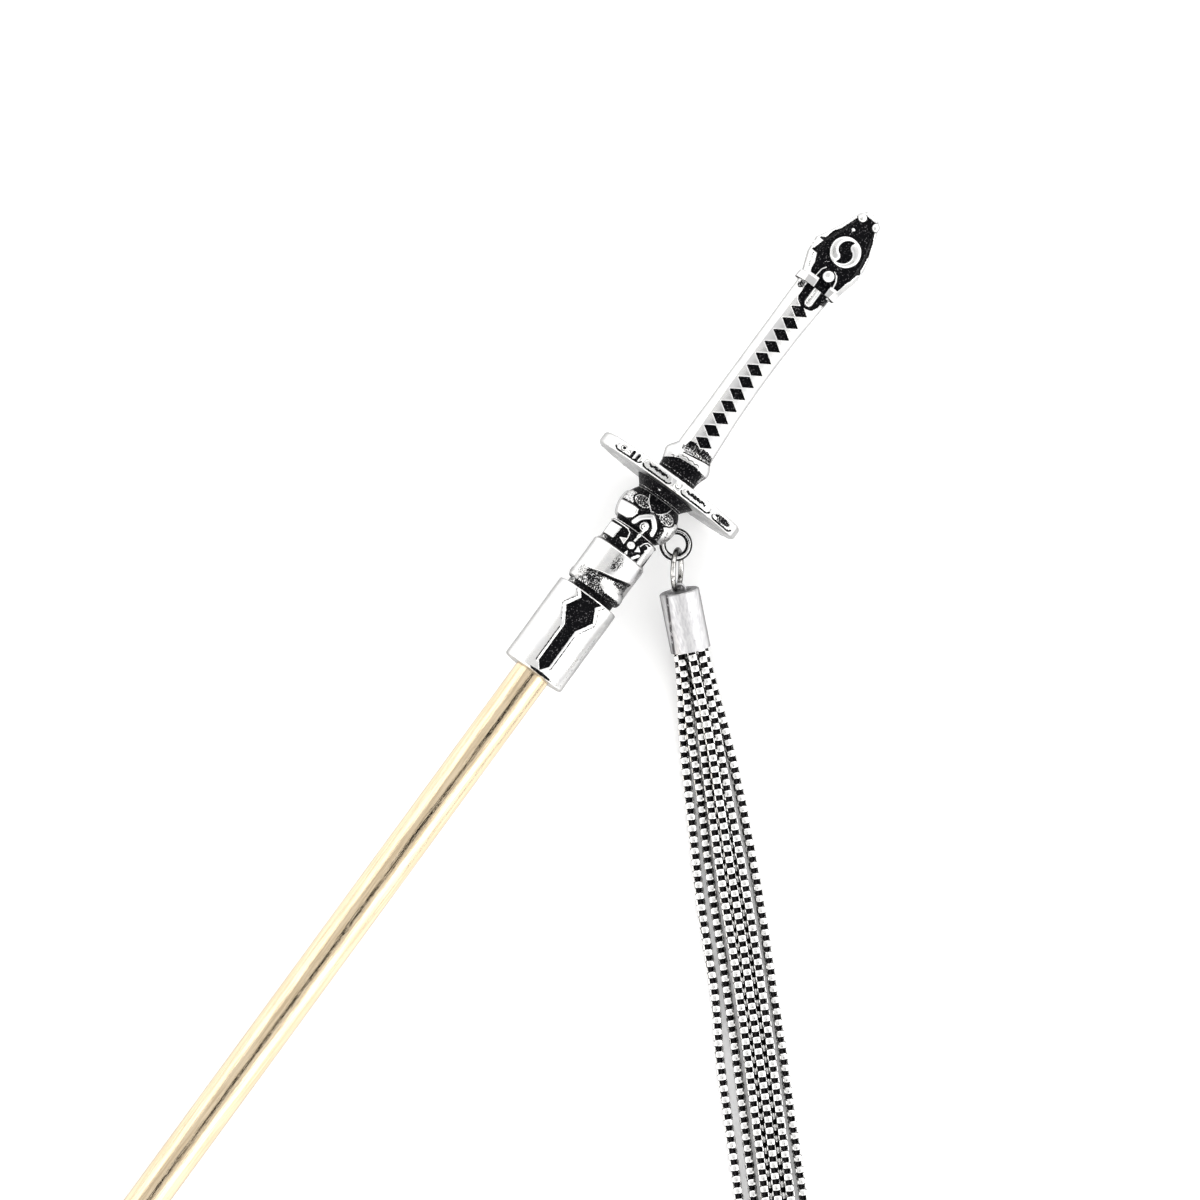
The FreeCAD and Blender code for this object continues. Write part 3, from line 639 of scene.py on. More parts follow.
def make_throat(material):
    """The band goes right round, so the relief doesn't fade at the sides. It goes on there as
    it is at the side's own edge."""
    corners = [(FERRULE_TOP, SEAM_R), (FERRULE_TOP, NECK_R), (THROAT_TOP, NECK_R),
               (THROAT_TOP, SEAM_R)]
    profile = divided(corners, FINE)
    places = spun(profile, turns(NECK_R))
    lowered = 0.6 + 0.4 * ease(THROAT_TOP - places[..., 0], -0.01, 0.14)
    x, l, z = plane_of(places)
    art, at_sides = throat_relief(x, l), throat_relief(x, np.sign(l) * 3.3)
    facing = ease(z, 0.05, 0.9)
    side_height = at_sides.height * lowered
    ends = (profile[:, 1] < NECK_R - 0.01)[:, None]
    height = np.where(ends, 0, side_height + (art.height * lowered - side_height) * facing)
    tarnish_and_shade = at_sides.tarnish_and_shade + (art.tarnish_and_shade - at_sides.tarnish_and_shade) * facing
    return skin_piece("throat_skin", "throat_band", places, height, tarnish_and_shade, material)


# Collar

def collar_relief(x, l):
    art = Relief(x, l, 1.0)
    # Bulb: smooth lobes low at the sides, and a worn patch above the left one
    left_lobe = [(-4.0, -4), (-3.92, -1.75), (-3.98, -1.42), (-4.45, -1.22), (-5.05, -1.28),
                 (-5.45, -1.75), (-5.5, -4)]
    right_lobe = [(-2.7, 4), (-2.8, 2.75), (-3.5, 2.1), (-4.0, 1.7), (-4.9, 1.62), (-5.5, 1.75),
                  (-5.6, 2.5), (-5.4, 4)]
    art.plates((left_lobe, 0.26, 0.0, 0.2), (right_lobe, 0.24, 0.1, 0.2))
    art.smears(
        ([(-4.3, 1.8), (-5.3, 1.9)], 0.2, 0.64, 0.12),
        ([(-4.2, 2.4), (-5.3, 2.5)], 0.14, 0.5, 0.12),
        ([(-3.1, 2.6), (-4.0, 2.75)], 0.1, 0.46, 0.12),
    )
    art.plates(([(-2.55, -4), (-2.6, -2.3), (-3.9, -2.15), (-3.9, -4)], 0.14, 0.42, 0.14))
    # Textured leaves on both sides of a black V under the washer
    for middle, ground in (((-3.08, -1.5), 0.64), ((-3.15, 1.5), 0.57)):
        leaf = to_oval(x, l, middle, (0.58, 0.84))
        art.raised(leaf, 0.13, ground, 0.1)
        art.line(np.abs(leaf + 0.02), 0.06, 0.14, 0.3)
        art.line(np.abs(leaf - 0.09), 0.08, 0.0, 1.0)
    vee = [(-2.1, -1.3), (-2.1, 1.34), (-2.9, 0.95), (-3.45, 0.15), (-2.9, -0.95)]
    art.sunk(to_outline(x, l, vee), 0.0, 1.0, 0.05)
    art.threads(
        ([(-2.05, -1.36), (-2.6, -1.16), (-3.1, -0.75), (-3.5, -0.24)], 0.08, 0.12, 0.0),
        ([(-2.05, 1.4), (-2.6, 1.18), (-3.05, 0.8), (-3.35, 0.42)], 0.08, 0.12, 0.0),
    )
    art.spots(((-3.55, 0.12), (0.4, 0.42), 0.52, 0.1))
    # A thick pointed arch, with a curl under it whose stem runs down onto the sleeve
    left_side = [(-3.85, 0.12), (-4.2, -0.38), (-4.65, -0.82), (-5.28, -1.02)]
    right_side = [(-3.85, 0.12), (-4.2, 0.62), (-4.65, 1.04), (-5.25, 1.2)]
    arch = np.minimum(to_path(x, l, left_side), to_path(x, l, right_side)) - 0.3
    art.line(np.abs(arch - 0.1), 0.1, 0.0, 1.0)
    art.raised(arch, 0.28, 0.0, 0.16)
    art.smears(([(-3.6, 0.1), (-4.1, 0.14)], 0.08, 0.4, 0.12))
    curl = to_disc(x, l, (-5.1, 0.08), 0.5)
    art.sunk(curl - 0.16, 0.05, 1.0, 0.05)
    art.ribs(
        ([(-5.2, 0.36), (-5.75, 0.3), (-6.3, 0.22)], 0.2, 0.2, 0.0, 0.12),
        ([(-6.3, 0.22), (-6.95, 0.16)], 0.13, 0.18, 0.05, 0.08),
    )
    art.raised(curl, 0.24, 0.0, 0.12)
    art.sunk(to_arc(x, l, (-5.12, 0.02), 0.26, 170, 330) - 0.06, -0.08, 0.8, 0.05)
    art.stained(to_disc(x, l, (-5.06, 0.04), 0.09), 0.62, 0.06)
    # A bright edge under the washer
    art.line(np.abs(x + 1.84), 0.09, 0.03, 0.0)
    # The waist: a bright thread over a black groove
    art.line(np.abs(x + 6.0), 0.08, 0.05, 0.12)
    # Sleeve: a block on the left, a thread that curls round it, and a bead between two darts
    art.plates(([(-6.52, -4), (-6.52, -1.62), (-8.0, -1.75), (-8.0, -4)], 0.2, 0.0, 0.1))
    art.stained(to_outline(x, l, [(-8.1, -4), (-8.1, -2.3), (-8.7, -2.2), (-8.7, -4)]), 0.55, 0.08)
    art.ribs(
        ([(-6.25, -2.7), (-6.28, -1.1), (-6.55, -0.72), (-7.05, -0.6)], 0.07, 0.16, 0.05, 0.06),
        ([(-6.25, 2.8), (-6.28, 1.45), (-6.6, 1.12), (-7.05, 0.98)], 0.07, 0.16, 0.05, 0.06),
    )
    art.plates(
        ([(-7.52, -1.36), (-7.1, -0.54), (-7.92, -0.54)], 0.18, 0.0, 0.05),
        ([(-7.52, 1.4), (-7.1, 0.76), (-7.92, 0.76)], 0.18, 0.0, 0.05),
    )
    art.bead((-7.54, 0.12), 0.43, 0.12, 0.0, 0.12, 0.32)
    art.plates(([(-8.12, 0.15), (-8.8, -0.15), (-8.8, 0.5)], 0.16, 0.05, 0.06))
    # Foliage on the tassel's side
    art.ribs(([(-6.6, 2.15), (-7.4, 2.05), (-8.6, 2.0)], 0.4, 0.22, 0.06, 0.12))
    art.smears(([(-7.6, 2.45), (-8.6, 2.3)], 0.1, 0.58, 0.1))
    art.ribs(([(-7.95, 1.42), (-8.65, 0.95)], 0.17, 0.18, 0.05, 0.07))
    art.raised(to_arc(x, l, (-6.85, 1.55), 0.3, -20, 160) - 0.08, 0.16, 0.1, 0.06)
    art.threads(([(-6.6, 2.55), (-8.6, 2.5)], 0.07, 0.12, 1.0))
    return art


def make_collar(material):
    bulb_low = COLLAR_TOP - 4.15
    groove_low = bulb_low - 0.25
    # The bulb's outline is the arc through its two ends and its widest point
    rise, half = COLLAR_R - COLLAR_END_R, (COLLAR_TOP - bulb_low) / 2
    arc_r = (half * half + rise * rise) / (2 * rise)
    stations = np.linspace(bulb_low, COLLAR_TOP, 72)
    reach = stations - (bulb_low + COLLAR_TOP) / 2
    bulb = list(zip(stations, COLLAR_END_R + rise - arc_r + np.sqrt(arc_r**2 - reach * reach)))
    sleeve = [
        (THROAT_TOP, SEAM_R), (THROAT_TOP, SLEEVE_R), (groove_low, SLEEVE_R),
        (groove_low, WAIST_R), (bulb_low, WAIST_R), bulb[0],
    ]
    profile = np.concatenate([divided(sleeve, FINE), bulb[1:], [(COLLAR_TOP, SEAM_R)]])
    return cast("collar", spun(profile, turns(COLLAR_R)), collar_relief, material, 0.25, 0.9)


def make_lug(material):
    """The ring cast on the collar's side. Black lines are painted along its wire: a painted dark
    reflection down the middle on the upper arm, and painted shade at the outline."""
    around, across = np.append(circle(96), 0)[:, None], circle(28)[None, :]
    reach = LUG_R + LUG_WIRE_R * np.cos(across)
    x = LUG_MIDDLE[0] + reach * np.cos(around)
    l = LUG_MIDDLE[1] - reach * np.sin(around)
    places = grid(x, l, LUG_WIRE_R * np.sin(across))
    aside = np.cos(across) + 0 * around
    upper = ease(np.cos(around - 0.5), -0.2, 0.5)
    # The black is painted: a dark reflection along the upper arm, and shade at the wire's outline
    black = np.maximum(near(aside + 0.08, 0.04, 0.2) * upper, ease(np.abs(aside), 0.3, 0.5))
    tarnish_and_shade = (0.08 + 0.9 * black).ravel()
    faces = grid_faces(97, 28)
    return make_piece("collar_lug", on_head(places), faces, material, "collar", tarnish_and_shade)


# Washer

def washer_relief(x, l):
    art = Relief(x, l, 0.9)
    art.line(np.abs(x + 1.62), 0.05, 0.0, 0.35)
    art.spots(
        ((-1.1, -0.9), (0.06, 0.14), 0.1, 0.06),
        ((-1.15, 1.6), (0.05, 0.35), 0.45, 0.06),
    )
    return art


def make_washer(material):
    profile = divided([
        (COLLAR_TOP, SEAM_R), (COLLAR_TOP, 2.62), (COLLAR_TOP + 0.18, 2.72),
        (GUARD_LOW, 3.5), (GUARD_LOW, SEAM_R),
    ], FINE)
    piece = cast("washer", spun(profile, turns(WASHER_R)), washer_relief, material, 0.9)
    return piece


# Guard

def guard_relief(x, l):
    art = Relief(x, l)
    middle = (GUARD_LOW + GUARD_TOP) / 2
    # Middle and half length of each panel across, and half the width of all
    width = 0.44
    for across, half in ((-5.95, 1.45), (-2.5, 1.72), (2.5, 1.92), (6.25, 1.4)):
        ends = [(middle, across - half + width), (middle, across + half - width)]
        panel = to_path(x, l, ends) - width
        # The panel's edge is black below and bright above
        lower = ease(middle - 0.05 - x, 0, 0.12)
        art.lay(near(panel - 0.02, 0.08, 0.14) * lower, -0.08, 1.0)
        art.sunk(panel + 0.04, 0.07, 0.16, 0.06)
        art.line(np.abs(panel + 0.1), 0.05, -0.09, 0.46)
    # Black squiggles in the long panels, and the dark work at both ends
    for across, half in ((-2.5, 1.2), (2.4, 1.3)):
        wave = middle + 0.1 + 0.08 * np.sin((l - across) * 9.0)
        squiggle = np.maximum(np.abs(x - wave) - 0.085, np.abs(l - across) - half)
        art.stained(to_oval(x, l, (middle + 0.12, across), (0.22, half)), 0.54, 0.1)
        art.sunk(squiggle + 0.045 * np.sin(l * 29) - 0.02, 0.11, 1.0, 0.05)
    art.spots(((middle + 0.04, 6.2), (0.34, 1.15), 0.7, 0.1))
    art.stained(to_disc(x, l, (middle + 0.06, -6.65), 0.17), 1.0, 0.06)
    art.line(np.abs(to_disc(x, l, (middle + 0.04, -6.65), 0.3)), 0.07, -0.06, 0.75)
    for across, half in ((-5.62, 0.15), (-5.02, 0.14)):
        bar = to_path(x, l, [(middle - 0.34, across - 0.02), (middle + 0.28, across)]) - half
        art.sunk(bar, 0.14, 1.0, 0.05)
    art.spots(((middle, -6.05), (0.3, 0.2), 0.5, 0.08))
    bead = art.bead((middle + 0.04, 0.0), 0.26, None, 0, 0, 0.14, 0.1)
    art.lay(near(bead - 0.04, 0.02, 0.08) * ease(middle - x, -0.1, 0.2), -0.06, 0.9)
    art.smears(([(-0.5, 0.25), (-0.42, -0.6)], 0.03, 0.9, 0.08))
    # The rim stands a little out between the panels
    for across in (-4.2, -0.45, 0.42, 4.62, -7.75, 7.95):
        art.height += 0.05 * near(l - across, 0.05, 0.3)
    return art


def make_guard(material):
    w, d, r = GUARD_HALF_WIDTH, GUARD_HALF_DEPTH, GUARD_ROUND
    bends = np.radians(np.linspace(0, 90, 9))
    # Rows of x, how far inside the rim, and the share of the oval that a flat face has left
    rim = [(GUARD_LOW + r * (1 - sin(a)), r * (1 - cos(a)), 1.0) for a in bends[::-1]]
    rim += [(x, 0.0, 1.0) for x in np.linspace(GUARD_LOW + r, GUARD_TOP - r, 14)[1:-1]]
    rim += [(GUARD_TOP - r * (1 - sin(a)), r * (1 - cos(a)), 1.0) for a in bends]
    shares = [1 - 0.06 * i for i in range(1, 13)]
    low_face = [(GUARD_LOW, r, share) for share in reversed(shares)]
    x, inset, share = columns_of(low_face + rim + [(GUARD_TOP, r, share) for share in shares])
    t = turns((w + d) / 2)
    places = grid(x, (w - inset) * share * np.sin(t), (d - inset) * share * np.cos(t))
    px, l, z = plane_of(places)
    art = guard_relief(px, l)
    facing = ease(z, 0.6, 2.6) * (np.abs(share - 1) < 0.001) * (inset < r * 0.75)
    tarnish_and_shade = 0.02 + (art.tarnish_and_shade - 0.02) * facing
    return skin_piece("guard_skin", "guard", places, art.height * facing, tarnish_and_shade, material)


# Grip and its collar

def oval_rows(rows, step, bulge=0.05):
    """A grid of flat-fronted ovals. Each row is x, half width, half depth, flat, shift. The
    front bulges a little."""
    x, width, depth, flat, shift = columns_of(rows)
    centre = (width**2 - flat**2 - depth**2) / (2 * (width - flat))
    radius = width - centre
    sweep = np.arctan2(depth, flat - centre)
    front = round(2 * float(flat.mean()) / step)
    side = round(2 * float((radius * sweep).mean()) / step)
    counts = (front, side, front * 6 // 10, side * 8 // 10)
    run, near_turn, back_run, far_turn = (1 - 2 * np.arange(n)[None, :] / n for n in counts)
    near_turn, far_turn = sweep * near_turn, sweep * far_turn
    l = np.concatenate([
        -flat * run, centre + radius * np.cos(near_turn),
        flat * back_run, -centre - radius * np.cos(far_turn),
    ], 1)
    z = np.concatenate([
        depth + bulge * (1 - run**2), radius * np.sin(near_turn),
        -depth + 0 * back_run, -radius * np.sin(far_turn),
    ], 1)
    return grid(x, l - shift, z)


def between(stations, table):
    """Rows at stations, read between the table's rows."""
    table = np.array(table)
    columns = [np.interp(stations, table[:, 0], column) for column in table.T[1:]]
    return list(zip(stations, *columns))


def grip_collar_relief(x, l):
    art = Relief(x, l, 0.03)
    # The black hollow under the swelling, cut off by a slant at the left
    hollow = [(1.1, 4), (1.1, -2.5), (2.15, -2.4), (2.65, -1.7), (2.95, -1.0), (3.12, 0.9),
              (2.95, 2.0), (2.7, 4)]
    art.stained(to_outline(x, l, hollow), 1.0, 0.05)
    art.spots(((2.3, 2.35), (0.75, 0.4), 0.5, 0.15))
    art.smears(
        ([(2.95, 1.2), (2.85, 2.1), (2.75, 2.7)], 0.14, 0.6, 0.14),
        ([(2.75, -1.9), (3.0, -1.2)], 0.1, 0.6, 0.12),
    )
    art.line(np.abs(x - 1.55), 0.06, 0.0, 0.35)
    # A wavy black line across the swelling, and the slanting seam with the grip
    wave = 3.36 + 0.06 * np.sin(l * 9)
    middle = ease(l + 1.2, 0, 0.15) * ease(1.3 - l, 0, 0.15)
    art.lay(near(x - wave, 0.03, 0.09) * middle, -0.03, 0.8)
    art.threads(([(3.66, -1.1), (3.95, 0.4), (4.25, 2.1)], 0.14, -0.05, 1.0))
    above = to_outline(x, l, [(3.72, -1.1), (4.0, 0.4), (4.3, 2.1), (4.6, 2.1), (4.6, -1.6),
                              (3.9, -1.5)])
    art.stained(above, 0.55, 0.08)
    return art


def make_grip_collar(material):
    # x, half width, half depth, flat, shift to the left
    table = [
        (GUARD_TOP, 2.2, 1.85, 1.15, 0.0), (1.9, 2.3, 1.93, 1.15, 0.0),
        (2.6, 2.52, 2.12, 1.15, 0.0), (3.05, 2.7, 2.24, 1.15, 0.0),
        (3.35, 2.7, 2.23, 1.15, 0.0), (3.7, 2.56, 2.1, 1.15, -0.03),
        (4.1, 2.3, 1.85, 1.15, -0.06), (GRIP_LOW, 2.14, 1.72, 1.15, -0.08),
    ]
    rows = between(np.arange(GUARD_TOP, GRIP_LOW + 0.001, FINE), table)
    return cast("grip_collar", oval_rows(rows, FINE), grip_collar_relief, material, 0.12, 0.6)


FIRST_DIAMOND, DIAMOND_PITCH, DIAMONDS = 5.74, 1.551, 12
FIELD_LOW = FIRST_DIAMOND + (DIAMONDS - 0.5) * DIAMOND_PITCH + 0.15


def grip_shift(x):
    """How far the grip's middle lies to the left, a parabola through three places."""
    (x0, y0), (x1, y1), (x2, y2) = (GRIP_LOW, -0.08), (15.0, 0.14), (GRIP_TOP, -0.1)
    return (
        y0 * (x - x1) * (x - x2) / ((x0 - x1) * (x0 - x2))
        + y1 * (x - x0) * (x - x2) / ((x1 - x0) * (x1 - x2))
        + y2 * (x - x0) * (x - x1) / ((x2 - x0) * (x2 - x1))
    )


def grip_relief(x, l):
    art = Relief(x, l)
    # Worn foot: pitted black over the seam
    foot = [(4.3, -1.35), (5.05, -1.25), (5.3, -0.4), (5.25, 0.9), (5.05, 1.9), (4.3, 2.1)]
    art.stained(to_outline(x, l, foot), 0.66, 0.1)
    art.spots(((4.95, -0.85), (0.22, 0.32), 0.95, 0.08))
    half_x, half_l = 0.67, 1.07
    for i in range(DIAMONDS):
        middle = FIRST_DIAMOND + i * DIAMOND_PITCH
        across = -float(grip_shift(middle)) + 0.05
        inside = np.abs(x - middle) / half_x + np.abs(l - across) / half_l
        distance = (inside - 1) * half_x * half_l / hypot(half_x, half_l)
        art.raised(distance - 0.1, 0.03, 0.0, 0.1)
        art.sunk(distance, 0.24, 1.0, 0.06)
    # The sunk field under the pommel, and the bar down its middle
    field = to_outline(x, l, [
        (26.5, -1.1), (24.1, -1.05), (23.75, -0.85), (23.35, -0.15), (23.4, 0.4),
        (23.55, 0.95), (23.8, 1.25), (24.2, 1.5), (26.5, 1.65),
    ])
    art.sunk(field, 0.24, 1.0, 0.08)
    art.spots(
        ((25.15, 1.72), (0.6, 0.3), 0.68, 0.14),
        ((25.3, -1.45), (0.5, 0.36), 0.66, 0.14),
    )
    art.ribs(([(FIELD_LOW + 0.42, 0.3), (26.6, 0.3)], 0.52, 0.1, 0.0, 0.22))
    art.threads(
        ([(23.9, 0.12), (25.3, 0.15)], 0.09, 0.06, 0.58),
        ([(24.3, 0.5), (26.0, 0.46)], 0.07, 0.07, 0.5),
    )
    return art


def make_grip(material):
    stations = np.arange(GRIP_LOW, GRIP_TOP + 0.001, FINE)
    waist = ((GRIP_LOW, 9.5, 15.0, 20.5, GRIP_TOP), (2.08, 1.88, 1.82, 1.87, 2.04))
    widths = np.interp(stations, *waist)
    rows = [(x, w, 1.55, 1.2, float(grip_shift(x))) for x, w in zip(stations, widths)]
    return cast("grip", oval_rows(rows, FINE, 0.18), grip_relief, material, 0.0, 0.4)


# Pommel

POMMEL_FIELD = [
    (35.2, -0.2), (34.3, -0.9), (33.36, -1.24), (32.54, -1.58), (31.96, -2.0),
    (30.8, -2.4), (30.5, -2.95), (30.3, -2.44), (29.2, -2.66), (29.0, -3.0),
    (28.82, -2.16), (27.89, -1.74), (26.86, -1.62), (26.86, 2.04), (27.89, 2.26),
    (28.47, 2.6), (29.4, 2.78), (29.78, 3.12), (30.1, 2.84), (30.8, 2.8),
    (32.19, 2.6), (33.24, 2.24), (34.05, 1.84), (34.7, 1.58), (35.2, 1.24),
]


def pommel_relief(x, l):
    art = Relief(x, l, 0.04)
    field = to_outline(x, l, POMMEL_FIELD)
    art.sunk(field, 0.18, 1.0, 0.07)
    # Faint modelling of the black ground
    ripples = np.sin(x * 5.1 + l * 2.3) * np.sin(l * 4.7 - x * 1.9)
    art.height += 0.035 * ripples * ease(-field, 0, 0.2)
    # Two commas chase each other round the middle of the field
    for start in (215, 35):
        comma = to_comma(x, l, (30.66, 0.26), 1.72, 0.58, start, 200)
        art.lay(ease(-comma, -0.03, 0.1), 0.08, 0.0)
        art.height += 0.1 * ease(-comma, 0.0, 0.36)
    # A bead between the band's ends, and a thin arch over it that springs from the band
    arch = np.minimum(
        to_path(x, l, [(28.25, 0.55), (28.05, 1.0), (27.55, 1.3), (26.9, 1.42)]),
        to_path(x, l, [(28.2, -0.45), (27.8, -0.72), (26.9, -0.82)]) + 0.03,
    )
    art.raised(arch - 0.11, 0.06, 0.0, 0.08)
    art.bead((27.55, 0.33), 0.63, 0.1, 0.16, 0.02, 0.34)
    art.stained(to_disc(x, l, (27.22, 0.28), 0.06), 0.7, 0.07)
    # Two small beads under the blunt point, and its bright edge
    art.ribs(([(35.45, -0.1), (35.62, 0.5), (35.45, 1.1)], 0.16, 0.04, 0.0, 0.08))
    for across in (-0.33, 1.47):
        art.bead((34.72, across), 0.47, 0.08, 0.12, 0.03, 0.26)
        art.stained(to_disc(x, l, (34.75, across - 0.05), 0.12), 0.4, 0.12)
    # Small painted glints in the field, and painted grey shade along the lower scrolls
    art.spots(((33.15, -0.42), (0.16, 0.2), 0.0, 0.05))
    art.threads(([(33.0, -0.42), (32.5, -0.42)], 0.06, -0.12, 0.35))
    art.smears(
        ([(28.55, -0.9), (28.9, -0.55)], 0.02, 0.1, 0.05),
        ([(28.45, 0.75), (28.9, 0.55)], 0.02, 0.2, 0.05),
    )
    art.spots(
        ((34.0, 0.6), (0.12, 0.5), 0.78, 0.1),
        ((29.6, -2.95), (0.3, 0.14), 0.0, 0.06),
    )
    art.smears(
        ([(28.7, -2.45), (27.3, -1.95)], 0.1, 0.5, 0.12),
        ([(28.6, 3.0), (27.5, 2.6)], 0.06, 0.44, 0.1),
    )
    return art


def make_pommel(material):
    # x, half width, half depth, half width of the front flat, shift to the left
    table = [
        (GRIP_TOP, 2.44, 1.95, 1.6, -0.1), (BAND_TOP, 2.44, 1.95, 1.7, -0.16),
        (BAND_TOP + 0.12, 2.34, 1.86, 1.78, -0.25), (28.7, 2.98, 2.1, 2.3, -0.15),
        (30.4, 3.05, 2.1, 2.35, -0.1), (31.6, 2.58, 1.95, 1.9, -0.3),
        (33.1, 1.96, 1.65, 1.4, -0.42), (34.4, 1.54, 1.32, 1.06, -0.48),
        (35.2, 1.16, 1.0, 0.78, -0.5), (35.55, 0.8, 0.74, 0.5, -0.5),
        (POMMEL_TIP, 0.42, 0.45, 0.22, -0.5),
    ]
    rows = between(np.concatenate([np.arange(GRIP_TOP, POMMEL_TIP, 0.05), [POMMEL_TIP]]), table)
    # Eight flats, divided alike in every row
    outline = []
    for x, w, d, f, shift in rows:
        half = [(f, d), (w, d * 0.35), (w, -d * 0.35), (f, -d)]
        outline.append([(-f, d)] + half + [(-l, z) for l, z in half[:0:-1]])
    outline = np.array(outline)
    parts = []
    for i, count in enumerate((76, 26, 14, 20, 40, 20, 14, 26)):
        share = (np.arange(count) / count)[None, :, None]
        here, there = outline[:, i, None], outline[:, (i + 1) % 8, None]
        parts.append(here + (there - here) * share)
    ring = np.concatenate(parts, 1)
    x, _, depth, _, shift = columns_of(rows)
    places = grid(x, ring[..., 0] - shift, ring[..., 1])
    # The band stands open at the front, where the grip's bar meets it
    px, l, z = plane_of(places)
    art = pommel_relief(px, l)
    gap = np.maximum(np.abs(l - 0.42) - 0.72, px - BAND_TOP - 0.3)
    art.sunk(gap, 0.36, 1.0, 0.08)
    art.lay(ease(BAND_TOP - px, -0.12, 0) * (1 - ease(-gap, -0.05, 0.05)), 0.0, 0.0)
    skin = places + outward(places) * (art.height * ease(z / depth, 0.36, 0.62))[..., None]
    tarnish_and_shade = 0.05 + (art.tarnish_and_shade - 0.05) * ease(z / depth, 0.4, 0.5)
    # One more place closes the tip
    columns = l.shape[1]
    last = l.size - columns
    faces = grid_faces(*l.shape).tolist()
    faces += [(last + i, last + (i + 1) % columns, l.size) for i in range(columns)]
    skin = on_head(np.vstack([skin.reshape(-1, 3), skin[-1].mean(0)]))
    return make_piece("pommel_skin", skin, faces, material, "pommel", np.append(tarnish_and_shade, 0.1))


def make_knops(material):
    """A round knop on either edge of the pommel at its widest."""
    up, around = np.linspace(0, pi, 15)[:, None], circle(28)[None, :]
    r = KNOP_R * np.sin(up)
    faces, tarnish_and_shade = grid_faces(15, 28)[:, ::-1], np.full(15 * 28, 0.08)
    for name, l in KNOPS:
        places = grid(KNOP_X + r * np.cos(around), l - r * np.sin(around), KNOP_R * np.cos(up))
        make_piece(name, on_head(places), faces, material, "pommel", tarnish_and_shade)


# Chains

CHAIN_R, CHAIN_START, SEAT_R = 0.5, 1.75, 1.27
CHAIN_HEADING = radians(-135.6)
STATIONS = (9.0, 15.5, 20.0, 26.0, 32.0, 37.5, 42.5, 49.0, 57.0, 64.5)

# As in the part: seat is an angle in the cap, or None for its middle, bend and end are mm, and
# across and lift are mm at each station, where lift goes on as it ends. Phase is the first
# link's share of a link, and twist its turn in degrees at the mouth, the middle and the end.
Chain = namedtuple("Chain", "seat bend end phase twist lift across")
CHAINS = (
    Chain(194.5, 0.9, 0.4, 0.2, (8, -6, 4), (0,),
          (-2.15, -2.4, -2.58, -2.85, -2.78, -2.76, -3.27, -3.29, -3.36, -3.5)),
    Chain(145.0, 1.3, -0.5, 0.7, (0, 6, -4), (0.85, 0),
          (-1.3, -1.15, -1.36, -1.47, -1.37, -1.44, -1.5, -1.63, -1.83, -2.06)),
    Chain(None, 0.9, 0.1, 0.5, (14, -5, 6), (1.15, 1.0, 1.0, 0.9),
          (-0.12, -0.24, -0.32, -0.34, -0.24, -0.26, -0.32, -0.45, -0.62, -0.82)),
    Chain(92.0, 1.5, 0.6, 0.05, (-4, 5, -6), (2.2, 1.65, 1.1, 0.9),
          (0.6, 0.66, 0.74, 0.83, 0.96, 0.89, 0.86, 0.85, 0.62, 0.36)),
    Chain(39.0, 1.2, -0.2, 0.85, (-12, -4, 5), (1.25, 1.05, 1.0, 0.9),
          (1.4, 1.58, 1.84, 2.02, 2.16, 2.14, 2.15, 2.11, 2.0, 1.84)),
    Chain(-11.0, 0.9, 0.3, 0.4, (-16, -7, 7), (0.35, 0),
          (2.35, 2.9, 3.06, 3.3, 3.36, 3.31, 3.38, 3.28, 3.3, 3.22)),
    Chain(244.5, 0.3, -0.4, 0.3, (0, 4, -4), (0,),
          (-0.1, 0.18, 0.23, 0.25, 0.36, 0.31, 0.27, 0.2, 0.0, -0.24)),
    Chain(295.5, 0.3, 0.2, 0.6, (0, -4, 4), (0,),
          (0.96, 1.25, 1.32, 1.42, 1.56, 1.52, 1.5, 1.48, 1.31, 1.09)),
)

# A link in mm: pitch, length, height across the chain, strip width, thickness and corner
LINK_PITCH, LINK_LENGTH, LINK_HEIGHT, STRIP, THICK, LINK_CORNER = 0.6, 0.82, 1.0, 0.8, 0.17, 0.2

# Every link leans to and fro by up to this many degrees
SWAY = 3.5

# A dark core put inside the links as painted shade, as a radius and a count of sides
SHADE_CORE_R, SHADE_CORE_SIDES = 0.32, 8

# No link goes lower than this over the table, in metres
TABLE_GAP = 0.00001


def route(chain):
    """The corners of one chain's way in mm: down the cap, out of its mouth, along the surface."""
    seat = Vector((0, 0, 0))
    if chain.seat is not None:
        a = radians(chain.seat)
        seat = CAP_SIDE * (SEAT_R * cos(a)) + CAP_UP * (SEAT_R * sin(a))
    points = [CAP_TOP + CAP_OUT * CHAIN_START + seat, CAP_MOUTH + CAP_OUT * chain.bend + seat]
    along = Vector((cos(CHAIN_HEADING), sin(CHAIN_HEADING), 0))
    sideways, foot = Vector((-along.y, along.x, 0)), Vector((CAP_MOUTH.x, CAP_MOUTH.y, 0))
    lifts = chain.lift + chain.lift[-1:] * (len(STATIONS) - len(chain.lift))
    for station, across, lift in zip(STATIONS, chain.across, lifts):
        reach = station + (chain.end if station == STATIONS[-1] else 0)
        points.append(foot + along * reach + sideways * across + Vector((0, 0, CHAIN_R + lift)))
    return points


